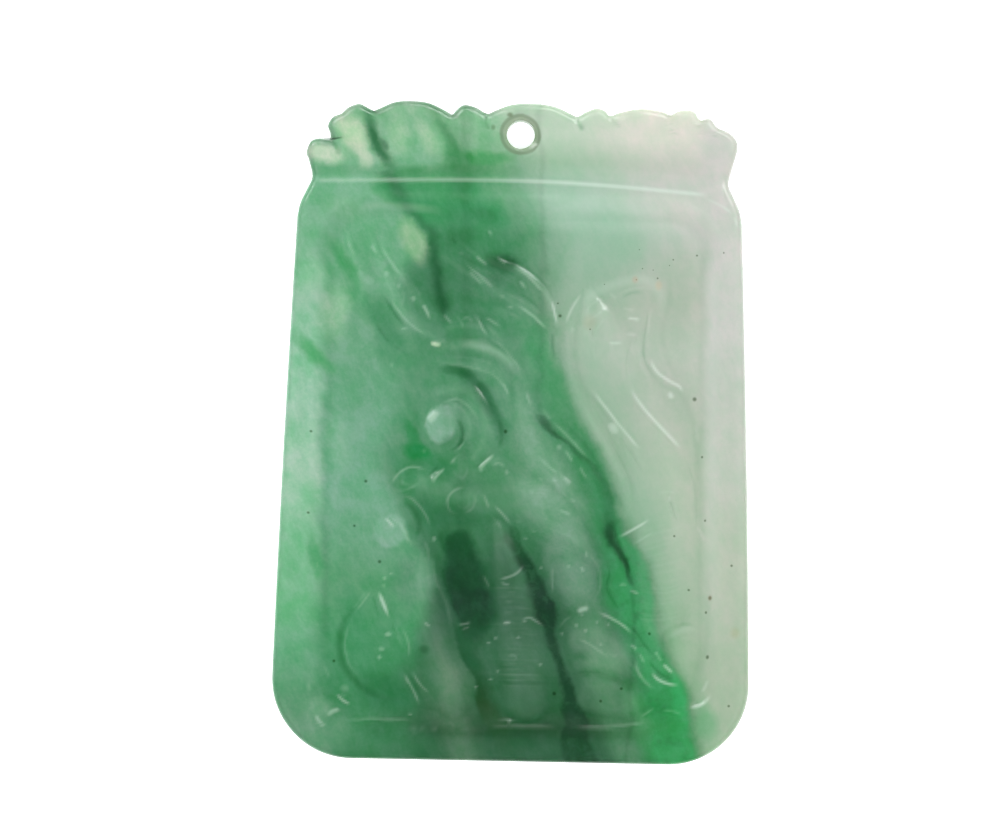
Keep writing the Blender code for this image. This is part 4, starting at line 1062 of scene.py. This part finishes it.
# The zones of the stone, from the left border to the right one
mint = by_height([
    (27, (136, 186, 148)), (21, (120, 180, 142)), (15, (116, 175, 137)), (9, (116, 170, 136)),
    (1, (116, 171, 139)), (-5, (124, 176, 147)), (-9, (113, 169, 135)), (-13, (98, 160, 119)),
    (-17, (82, 154, 108)), (-21, (72, 144, 98)), (-27, (68, 132, 90))])
middle = by_height([
    (27, (150, 196, 160)), (23, (114, 174, 130)), (21, (80, 155, 105)), (19, (72, 158, 104)),
    (17, (76, 146, 101)), (13, (76, 135, 98)), (9, (86, 146, 108)), (5, (96, 153, 117)),
    (1, (99, 155, 120)), (-3, (86, 147, 106)), (-7, (74, 135, 95)), (-11, (60, 114, 80)),
    (-15, (50, 98, 69)), (-19, (64, 112, 82)), (-23, (50, 102, 68)), (-25, (38, 84, 53)),
    (-27, (54, 102, 72))])
pale = by_height([
    (25, (188, 208, 188)), (23, (166, 196, 170)), (21, (162, 194, 172)), (19, (174, 206, 185)),
    (17, (160, 194, 171)), (13, (158, 187, 165)), (10, (166, 190, 169)), (7, (166, 189, 169)),
    (3, (157, 184, 161)), (-1, (153, 182, 157)), (-5, (150, 183, 157)), (-13, (134, 176, 142)),
    (-17, (132, 176, 139)), (-27, (140, 178, 142))])
white = by_height([
    (25, (217, 218, 207)), (23, (200, 204, 194)), (21, (198, 203, 195)), (19, (208, 212, 203)),
    (17, (194, 203, 193)), (15, (186, 196, 183)), (11, (181, 192, 177)), (7, (190, 200, 187)),
    (3, (182, 194, 179)), (-3, (180, 195, 176)), (-9, (179, 195, 175)), (-13, (174, 192, 171)),
    (-19, (163, 187, 161)), (-27, (156, 184, 155))])
left_border = by_height([
    (16, (125, 181, 145)), (11, (142, 190, 159)), (7, (140, 193, 160)), (3, (148, 195, 166)),
    (-3, (156, 197, 170)), (-7, (140, 193, 158)), (-11, (128, 186, 148)), (-15, (116, 182, 138)),
    (-19, (106, 170, 130)), (-23, (101, 156, 120)), (-27, (104, 152, 120))])
right_border = by_height([
    (22, (203, 206, 199)), (9, (200, 204, 197)), (3, (193, 201, 190)), (-3, (193, 201, 189)),
    (-9, (184, 197, 179)), (-15, (180, 194, 175)), (-21, (170, 189, 166)), (-27, (163, 186, 160))])
border_starts = right_of([
    (22, -20, 0.6), (19, -18, 1), (14, -16.6, 0.6), (5, -16.3, 0.45), (-12, -16.3, 0.45),
    (-27, -15.6, 1.2)])
middle_starts = right_of([
    (27, -7, 2), (23, -6.5, 2), (21, -12, 1.5), (17, -8.6, 1.2), (13, -9.6, 1.2), (9, -9.2, 2),
    (5, -9.8, 1.8), (1, -10.2, 1.5), (-3, -11.4, 1.5), (-7, -9.4, 1.3), (-11, -7.4, 1), (-15, -7, 1.2),
    (-19, -8, 2), (-23, -9, 4), (-27, -8, 4)])
pale_starts = right_of([
    (27, -1.5, 1.5), (25, -0.5, 2.5), (22, 0, 4), (19, 0.5, 3.6), (17, 2.2, 3.6), (15, 2.2, 3.4),
    (12, 2.5, 3), (9, 3, 2.8), (5, 4, 2.2), (1, 5.5, 1.5), (-3, 8, 1.2), (-7, 9.2, 1.2), (-9, 10.3, 1.3),
    (-11, 11.4, 1.5), (-15, 12.2, 1.6), (-17, 12.5, 1.5), (-19, 13.3, 1.6), (-23, 15.6, 1.8),
    (-27, 16.6, 1.8)])
white_starts = right_of([
    (25, 8, 4.5), (21, 9, 4.5), (17, 11, 3.5), (11, 9, 4), (3, 10, 3), (-3, 11.5, 2.5), (-9, 13.2, 2),
    (-15, 14.2, 2), (-21, 15.4, 2), (-27, 17.4, 2)])
rim_starts = right_of([(21, 15.6, 1), (5, 16.2, 0.9), (-12, 16.5, 1), (-27, 17.2, 1.4)])
colour = over(left_border, mint, border_starts)
colour = over(over(over(colour, middle, middle_starts), pale, pale_starts), white, white_starts)
colour = over(colour, right_border, rim_starts)

# Pale and cloudy patches
colour = patched(colour, (
    (-15.3, 10, 1.8, 3.4, -12, 0.3, 0.9, (148, 192, 158)),
    (-17.2, 12.7, 1.6, 2.4, 0, 0.3, 0.85, (144, 194, 160)),
    (-15, -1, 1.6, 3.4, 10, 0.2, 0.6, (136, 186, 155)),
    (-9, 16.1, 1.4, 2.7, 25, 0.35, 0.85, (160, 194, 158)),     # cream clouds, upper left
    (-15, 18.6, 2.6, 1.4, 0, 0.2, 0.3, (140, 190, 152)),
    (-16.4, 23.2, 2.6, 1.3, -12, 0.3, 0.85, (198, 215, 192)),    # crest
    (-14, 24.9, 1.6, 2.8, 28, 0.22, 0.92, (196, 216, 187)),
    (-12.9, 23, 1, 1.4, 20, 0.2, 0.7, (184, 212, 182)),
    (-10, 24.6, 1.3, 2.2, 15, 0.2, 0.6, (160, 202, 164)),
    (-7.6, 24.6, 1.1, 2.2, 30, 0.2, 0.75, (168, 204, 170)),
    (-11.1, 23.3, 1.2, 1.5, 20, 0.2, 0.6, (158, 204, 168)),
    (-6.3, 0.55, 1.55, 1.7, 0, 0.75, 0.75, (140, 181, 159)),     # the balls at the curl and the jaw
    (-10.3, -8.6, 1.65, 1.6, 0, 0.75, 0.6, (134, 178, 154)),
    (-8.4, -12.9, 2.4, 3.2, 10, 0.3, 0.75, (100, 152, 120)),
    (-4.8, 1.4, 1.9, 1.6, 20, 0.2, 0.8, (116, 166, 135)),
    (-0.2, 9.8, 2.2, 2, -30, 0.2, 0.4, (112, 162, 132)),
    (3.2, -10.8, 1.2, 1.9, 8, 0.2, 0.45, (110, 152, 124)),
    (-14.9, -25.9, 2.8, 2.6, 0, 0.2, 0.4, (118, 168, 135)),
    (-3.2, 7.4, 2.4, 1, -20, 0.2, 0.4, (110, 156, 126)),
    (-2, 5.2, 2.4, 1.6, -35, 0.2, 0.45, (108, 157, 126)),
    (-6, 7.4, 2, 0.8, 10, 0.2, 0.4, (112, 160, 126)),
    (-6.9, 7.4, 0.55, 0.34, 0, 0.3, 0.9, (180, 205, 172)),
    (-2.6, 12.2, 2.4, 1, -30, 0.2, 0.4, (96, 150, 117)),
    (0.9, -0.8, 1.6, 3.6, 18, 0.2, 0.6, (120, 160, 134)),
    # a painted highlight: a pale patch for the glints in the lower left corner
    (-15.6, -23.8, 1.4, 1.2, 20, 0.3, 0.4, (134, 178, 148))))

# Two paler bands, down the neck and the haunch, and the mottled emerald vein along the edge of the white
mottle = noise(veined, 0.9, 3, 0.6)[0]
pale_neck = vein([
    (3, 0.4, 1, 0.2), (0, 1.2, 1.2, 0.6), (-3, 2.4, 2, 0.7), (-5, 2.9, 2.6, 0.8), (-7, 3.7, 2.4, 0.75),
    (-9, 4.6, 1.9, 0.8), (-11, 5.4, 1.8, 0.85), (-13, 5.8, 1.8, 0.85), (-15, 6.7, 1.7, 0.8),
    (-17, 7.2, 1.8, 0.8), (-19, 8, 1.9, 0.85), (-21, 8.1, 1.7, 0.6), (-23, 8.7, 1.5, 0.55),
    (-25, 9.5, 1.6, 0.6), (-28, 10.8, 1.3, 0.75)], 2.6)
colour = over(colour, by_height([
    (3, (120, 166, 136)), (-6, (122, 167, 138)), (-12, (112, 155, 128)), (-17, (100, 148, 114)),
    (-20, (106, 156, 119)), (-25, (84, 144, 100)), (-27, (94, 148, 109))]), pale_neck)
khaki = vein([
    (-16, -6.4, 0.8, 0), (-19, -5.9, 1.1, 0.4), (-21, -5.4, 1.7, 0.85), (-23, -5, 1.8, 0.6),
    (-25, -4.3, 1.5, 0.5), (-28, -3.4, 1.6, 0.8)])
colour = over(colour, stone(98, 136, 106), khaki)
emerald_edge = band([
    (13, -0.6, 2.4, 0), (10, 0.1, 2.3, 0.45), (7, 0.7, 2.1, 0.75), (4, 1.7, 2.3, 0.85), (0, 3.4, 2.5, 0.88),
    (-4, 5.9, 2.2, 0.9), (-7.5, 6.9, 2, 0.9), (-10.2, 7.5, 3.6, 0.8), (-12.4, 7.9, 4, 0.85),
    (-14.1, 8.1, 4.1, 0.85), (-16, 8.9, 3.4, 0.8), (-17.8, 9.6, 3.2, 0.75), (-19.5, 10.4, 3.2, 0.8),
    (-21.3, 10.9, 4.1, 0.85), (-23, 11.1, 4.1, 0.85), (-24.3, 11.4, 4.1, 0.85), (-26.4, 11.9, 4.3, 0.9),
    (-28, 12.2, 4.2, 0.9)], 1.1, 0.55)
emerald_edge = maths("MULTIPLY", emerald_edge, ramp(mottle, 0.3, 0.55, 0.7, 1))
colour = over(colour, by_height([
    (13, (75, 142, 98)), (7, (90, 163, 116)), (1, (84, 150, 105)), (-5, (64, 142, 92)),
    (-9, (70, 154, 100)), (-13, (66, 158, 100)), (-19, (80, 171, 112)), (-23, (56, 154, 89)),
    (-27, (62, 160, 94))]), emerald_edge)

# Emerald streaks and pools
colour = patched(colour, (
    (-17, 6.2, 1, 3, 42, 0.2, 0.9, (86, 168, 112)),
    (-18, -9.6, 0.7, 2.2, 30, 0.2, 0.4, (104, 184, 132)),
    (-16.6, -11, 0.7, 3, 10, 0.2, 0.8, (84, 166, 112)),
    (-14.6, 14, 0.9, 3.6, 32, 0.3, 0.9, (84, 162, 108)),
    (-13.4, 11, 1.2, 4.4, 30, 0.2, 0.7, (94, 164, 118)),
    (-11, 8.6, 1.7, 4.6, 30, 0.2, 0.8, (74, 144, 100)),
    (-11.3, 6.9, 1.5, 2.2, 28, 0.3, 0.65, (84, 152, 110)),
    (-7.4, -3.2, 3.6, 2.6, 0, 0.2, 0.45, (60, 136, 90)),
    (-10.2, -25.4, 2.6, 1.3, 0, 0.3, 0.6, (56, 122, 80)),
    (-8.8, -0.3, 0.8, 2.2, 29, 0.2, 0.8, (50, 142, 84)),
    (-8.2, -1.8, 1.9, 1.1, -25, 0.3, 0.9, (36, 138, 76)),
    (-8.4, -4.2, 2.2, 1.6, 10, 0.2, 0.5, (78, 148, 104)),
    (-10.2, -2.6, 1.2, 2, 30, 0.2, 0.5, (84, 152, 112)),
    (-7, -7.2, 1.6, 2.4, 30, 0.3, 0.75, (54, 122, 80)),
    (-4.4, -7.2, 3.2, 1.5, 0, 0.3, 0.7, (52, 114, 76)),
    (-6.4, -3, 1.4, 1, 0, 0.3, 0.5, (62, 136, 92)),
    (-5, 5.1, 2, 0.6, -5, 0.3, 0.75, (56, 122, 80)),
    (-5.2, -0.8, 1.4, 0.7, -10, 0.3, 0.55, (78, 138, 98)),
    (-13.2, -17, 1.6, 5, 14, 0.3, 0.55, (72, 150, 102)),
    (-10.4, -22.4, 3.6, 2.2, -20, 0.3, 0.7, (50, 122, 78)),
    (-6.8, -20, 1.4, 4.6, 12, 0.3, 0.7, (54, 116, 76)),
    (-2.4, 23.1, 2.8, 0.9, 0, 0.3, 0.8, (84, 162, 104)),
    (-3.9, 23.1, 0.7, 0.9, 30, 0.2, 0.7, (44, 150, 68)),
    (-11.2, 24.1, 0.4, 0.6, 30, 0.2, 0.6, (50, 102, 68)),
    (-1.4, 14.3, 2, 1.3, -20, 0.2, 0.85, (38, 96, 60)),
    (-2, 12.8, 1, 0.9, 0, 0.2, 0.4, (60, 118, 80)),
    (-5.4, 16.4, 1.8, 1.2, 30, 0.2, 0.5, (56, 122, 78)),
    (-3, 18.2, 1.6, 1, -30, 0.2, 0.5, (60, 134, 86)),
    (-4.6, 20.6, 1.8, 1, 30, 0.2, 0.5, (70, 138, 94)),
    (8.4, -14, 0.7, 3.2, 8, 0.2, 0.5, (62, 142, 90)),
    (9.8, -13.4, 1, 2, 25, 0.3, 0.5, (58, 150, 90)),
    (-0.8, -12, 1.8, 5.6, 8, 0.3, 0.55, (48, 98, 68)),
    (-3.2, 9.4, 1.6, 1.2, -20, 0.3, 0.4, (74, 128, 94)),
    (0.6, -23.6, 2.8, 2, 0, 0.3, 0.45, (46, 104, 67)),
    (-2.6, -4.8, 3.4, 1.4, -5, 0.3, 0.45, (64, 128, 86)),
    (16.8, -24.4, 1.8, 2.8, 15, 0.2, 0.6, (104, 172, 124)),
    (11, -24, 1.5, 4.8, 16, 0.2, 0.6, (84, 160, 104)),
    (14.4, -22.6, 0.9, 3.6, 16, 0.2, 0.55, (60, 178, 106)),
    (14.2, -24, 1, 3.6, 15, 0.3, 0.4, (50, 158, 86))))

# Dark veins, broad ones first, and then fine ones such as the dark hollow round the curl of the snout
deep_green = by_height([
    (-6, (24, 90, 50)), (-10, (22, 72, 42)), (-14, (30, 62, 45)), (-20, (32, 74, 49)), (-27, (24, 66, 40))])
emerald_shadow = band([
    (-7.6, -6.2, 2, 0), (-8.8, -6.2, 2.6, 0.6), (-10.5, -6.1, 3.2, 0.85), (-12.2, -6, 4.2, 0.85),
    (-14, -5.4, 4.1, 0.85), (-16, -4.8, 3.5, 0.8), (-17.7, -4.7, 1.8, 0.75), (-19.5, -4.1, 1.2, 0.85),
    (-21.5, -2.9, 1, 0.85), (-23, -2.7, 1.3, 0.85), (-24.6, -1.9, 1.6, 0.75), (-27.5, -0.5, 1.9, 0.55)],
    0.25, 0.7)
colour = over(colour, by_height([
    (-8, (34, 104, 58)), (-14, (38, 90, 60)), (-20, (30, 92, 54)), (-23, (36, 76, 38)),
    (-27, (48, 98, 64))]), emerald_shadow)
left_core = band([
    (-8.3, -4.8, 1, 0), (-9, -5.3, 1.6, 0.8), (-9.9, -5.8, 2.4, 0.85), (-11, -5.8, 3, 0.85),
    (-12.3, -5.7, 3.4, 0.85), (-13.7, -5.3, 3.4, 0.9), (-15, -5, 3.2, 0.95), (-16, -4.6, 2.7, 0.75),
    (-17, -4.2, 1.8, 0.45), (-18.2, -4, 1.2, 0)], 0.3, 0.45)
colour = over(colour, deep_green, maths("MULTIPLY", patch(-4.3, -12.6, 2.1, 4.4, 12), 0.3))
colour = over(colour, deep_green, maths("MULTIPLY", left_core, ramp(mottle, 0.25, 0.65, 0.45, 0.9)))
second_vein = band([
    (-8, -0.5, 1, 0), (-8.9, -0.7, 1.3, 0.55), (-10.1, 0.2, 1, 0.75), (-11.3, 0.5, 1.3, 0.95),
    (-12.7, 1.3, 1.3, 0.85), (-13.8, 1.6, 1.5, 0.85), (-14.9, 1.9, 2, 0.95), (-15.8, 2.3, 1.8, 0.95),
    (-17, 2.8, 1, 0.9), (-18.8, 3.2, 0.85, 0.95), (-20, 3.7, 0.95, 0.9), (-21.2, 4.2, 1, 0.95),
    (-22.3, 4.5, 1.1, 0.95), (-23.4, 4.5, 1.6, 0.95), (-24.4, 4.9, 1.9, 0.9), (-26, 4.6, 2.6, 0.7),
    (-28, 5, 3, 0.6)], 0.28, 0.28)
colour = over(colour, deep_green, maths("MULTIPLY", second_vein, ramp(mottle, 0.3, 0.55, 0.55, 1)))
for shade, sharp, points in (
        (stone(40, 98, 62), 2, [
            (22, -11.4, 0.7, 0), (20.4, -10.2, 0.8, 0.6), (19, -9.6, 0.6, 0.35), (17, -7.6, 0.5, 0.55),
            (15, -7.3, 0.5, 0.7), (13, -7, 0.55, 0.85), (11, -6.7, 0.6, 0.95), (10, -6.6, 0.5, 0.6),
            (8.6, -6.5, 0.4, 0)]),
        (stone(46, 110, 72), 2.6, [
            (5.6, -5, 0.6, 0), (4.8, -4.1, 0.8, 0.55), (4, -3.3, 0.85, 0.8), (2.8, -2.6, 0.8, 0.8),
            (1.4, -1.9, 0.6, 0.6), (0.2, -1.2, 0.5, 0.45), (-1.2, -1.2, 0.4, 0)]),
        (stone(26, 66, 42), 2.4, [
            (1.8, 2, 0.3, 0), (0.9, 2.4, 0.45, 0.6), (0.1, 3, 0.4, 0.6), (-0.8, 4.3, 0.3, 0.35),
            (-2, 5.7, 0.3, 0.35), (-3.5, 7.2, 0.4, 0.3), (-5, 7.9, 0.6, 0.2), (-7, 8.1, 0.5, 0.35),
            (-8.6, 8.1, 0.55, 0.85), (-9.6, 8.6, 0.45, 0.85), (-11, 9.4, 0.3, 0.8), (-12.4, 10, 0.25, 0.6),
            (-13.2, 10.3, 0.2, 0)]),
        (stone(62, 122, 82), 2.4, [
            (27.6, -13, 0.4, 0), (26.4, -12.8, 0.5, 0.4), (24.3, -12, 0.6, 1), (22.8, -11, 0.5, 0.7),
            (21.6, -10.6, 0.5, 0)]),
        (stone(78, 146, 96), 2, [
            (27.6, -7.4, 0.7, 0.5), (26, -6.6, 0.6, 0.6), (24, -5.5, 0.7, 0.75), (22.6, -4.7, 1.2, 1),
            (21.4, -4.2, 1, 0.5), (20, -4, 1, 0)])):
    colour = over(colour, shade, vein(points, sharp))

# Clouding, fibres drawn out along the veins, and a fine grain: each takes more from red than from green
drawn_out = add("ShaderNodeMapping", {"Vector": veined, "Rotation": (0, 0, math.radians(24)),
                                      "Scale": (0.7, 2.4, 1.2)}, vector_type="TEXTURE").outputs[0]
clouds = noise(within, 0.42, 6, 0.62)[0]
fibres = noise(drawn_out, 1.1, 6, 0.62)[0]
grain = noise(within, 3.2, 4, 0.7)[0]
green_share = maths("SUBTRACT", 1, maths("MULTIPLY", pale_starts, 0.7))
for pattern, reach, green_part in ((clouds, 0.22, 0.2), (fibres, 0.11, 0.35), (grain, 0.06, 0.35)):
    share = ramp(pattern, 0.3, 0.7)
    thin = (1 - reach, 1 - reach * green_part, 1 - reach * 0.7, 1)
    thick = (1 + reach, 1 + reach * green_part, 1 + reach * 0.7, 1)
    colour = over(colour, over(thin, thick, share), green_share, "MULTIPLY")

# Painted light and shade: a painted highlight on what stands out and painted shade in the hollows, painted
# deep-green shade in the grooves, nearly white painted glints, and painted shade on the rim where the stone
# is green
stands = carving("relief")
# Painted highlight where the surface stands out, painted shade where it lies lower
colour = over(colour, stone(214, 232, 218), maths("MULTIPLY", ramp(stands, 0, 1), 0.08))
colour = over(colour, (0.84, 0.92, 0.87, 1), ramp(stands, 0, -1), "MULTIPLY")
height_light_and_shade = carving("raised")
# Painted light on raised forms, painted shade in hollows and on the panel's floor
colour = over(colour, stone(206, 226, 214), maths("MULTIPLY", ramp(height_light_and_shade, 0, 0.7), 0.04))
colour = over(colour, (0.7, 0.84, 0.76, 1), ramp(height_light_and_shade, -0.03, -0.75), "MULTIPLY")
# Painted shade: deep green in the grooves, hollows and along contours
shade_here = carving("painted_shade")
colour = over(colour, (0.34, 0.6, 0.42, 1), shade_here, "MULTIPLY")
# Painted highlights: the glints on ridges and beads, nearly white, and the pale bands of light
highlight_here = carving("painted_highlights")
colour = over(colour, stone(226, 240, 230), maths("MINIMUM", highlight_here, 0.9))
# Painted shade on the rounded rim and side walls, strongest where the stone is green
edge = carving("rim")
colour = over(colour, over((0.76, 0.68, 0.73, 1), (0.96, 0.96, 0.92, 1), pale_starts), edge, "MULTIPLY")

# Dark specks, where softer grains have come out of the polish: (x, y, radius)
speck_group = bpy.data.node_groups.new("speck", "ShaderNodeTree")
for socket_name, kind in (("Others", "Float"), ("Place", "Vector"), ("Centre", "Vector"),
                          ("Radius", "Float")):
    speck_group.interface.new_socket(socket_name, in_out="INPUT", socket_type="NodeSocket" + kind)
speck_group.interface.new_socket("Nearest", in_out="OUTPUT", socket_type="NodeSocketFloat")
handed = add("NodeGroupInput", tree=speck_group).outputs
far = vector_maths("DISTANCE", {0: handed["Place"], 1: handed["Centre"]}, speck_group)
far = maths("DIVIDE", far, handed["Radius"], speck_group)
add("NodeGroupOutput", {0: maths("MINIMUM", far, handed["Others"], speck_group)}, speck_group)
across_stone = vector_maths("MULTIPLY", {0: within, 1: (1, 1, 0)})
nearest = 9     # in radii of a speck, and farther than any shows
for x, y, radius in (
        (15.15, 3.1, 0.18), (15.9, -1.8, 0.11), (16.3, -7.2, 0.11), (13.8, -8.6, 0.1), (18.9, -11.1, 0.11),
        (16.95, -13.8, 0.17), (16.55, -15, 0.12), (16.8, -18.8, 0.17), (15, -13.1, 0.1),
        (3.75, -22.1, 0.16), (7.8, -22.7, 0.13), (9.5, -21.6, 0.13), (11.8, -16.9, 0.13), (18.9, -23, 0.11),
        (7.3, 12.7, 0.05), (10, 13.15, 0.06), (10.5, 14.1, 0.06), (11.4, 14, 0.05), (11.8, 13.3, 0.08),
        (13.1, 14.9, 0.07), (12.8, 14.4, 0.05), (15.1, 15.3, 0.09), (17.7, 15.4, 0.08), (10.2, 15.7, 0.05),
        (3.6, 9.95, 0.14), (3.4, 11, 0.08), (6.3, 8.8, 0.07), (-0.85, 0.05, 0.17), (-12.6, -4.4, 0.14),
        (-13.5, -8.2, 0.11), (-11.3, -11.2, 0.15), (-15, -19.7, 0.13), (-17, -0.4, 0.11),
        (-17.1, -7.3, 0.11)):
    sockets = {"Others": nearest, "Place": across_stone, "Centre": (x, y, 0), "Radius": radius}
    nearest = add("ShaderNodeGroup", sockets, node_tree=speck_group).outputs[0]
colour = over(colour, (0.36, 0.42, 0.34, 1), ramp(nearest, 1.5, 0.3), "MULTIPLY")

# Rusty tints, and one blurred dark spot under the surface
colour = patched(colour, (
    (9.9, 13.15, 0.4, 0.45, 0, 0.2, 0.35, (196, 160, 130)),
    (16.95, -13.8, 0.35, 0.4, 0, 0.2, 0.3, (150, 128, 96)),
    (6.2, 9.4, 0.9, 0.9, 0, 0.2, 0.3, (176, 172, 146)),
    (11.9, 12.7, 0.45, 0.6, 0, 0.2, 0.35, (206, 186, 150)),
    (19.3, -16.8, 0.6, 0.7, 0, 0.2, 0.25, (170, 164, 110)),
    (-7.3, -18.6, 0.6, 0.55, 0, 0.2, 0.6, (44, 96, 62)),
    (-2.05, 25.65, 0.3, 0.35, 0, 0.2, 0.6, (104, 136, 100)),
    (-0.65, 26.75, 0.4, 0.3, 0, 0.2, 0.7, (112, 128, 96))), (within_x, within_y))

# Grease and dirt in the worn mouth of the hole, thickest round its edge
off_mouth = vector_maths("SUBTRACT", {0: wander(within, 0.9, 0.1, 2), 1: (MOUTH_X, MOUTH_Y, 0)})
off_mouth = vector_maths("MULTIPLY", {0: off_mouth, 1: (1, 1, 0)})
from_centre = vector_maths("LENGTH", {0: off_mouth})
in_mouth = ramp(from_centre, MOUTH_RADIUS, MOUTH_RADIUS - 0.3)
colour = over(colour, stone(152, 164, 134), maths("MULTIPLY", in_mouth, 0.55))
from_ring = maths("ABSOLUTE", maths("SUBTRACT", from_centre, MOUTH_RADIUS - 0.02))
colour = over(colour, stone(112, 126, 98), maths("MULTIPLY", ramp(from_ring, 0.26, 0.04), 0.55))

tree.links.new(colour, shader.inputs["Base Color"])
for name, value in (("Roughness", 0.24), ("IOR", 1.66), ("Subsurface Weight", 0.8),
                    ("Subsurface Radius", (0.8, 1, 0.85)), ("Subsurface Scale", 1.3 * MM)):
    shader.inputs[name].default_value = value
plaque.data.materials.append(jade)

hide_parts("plaque")
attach(plaque, "root")
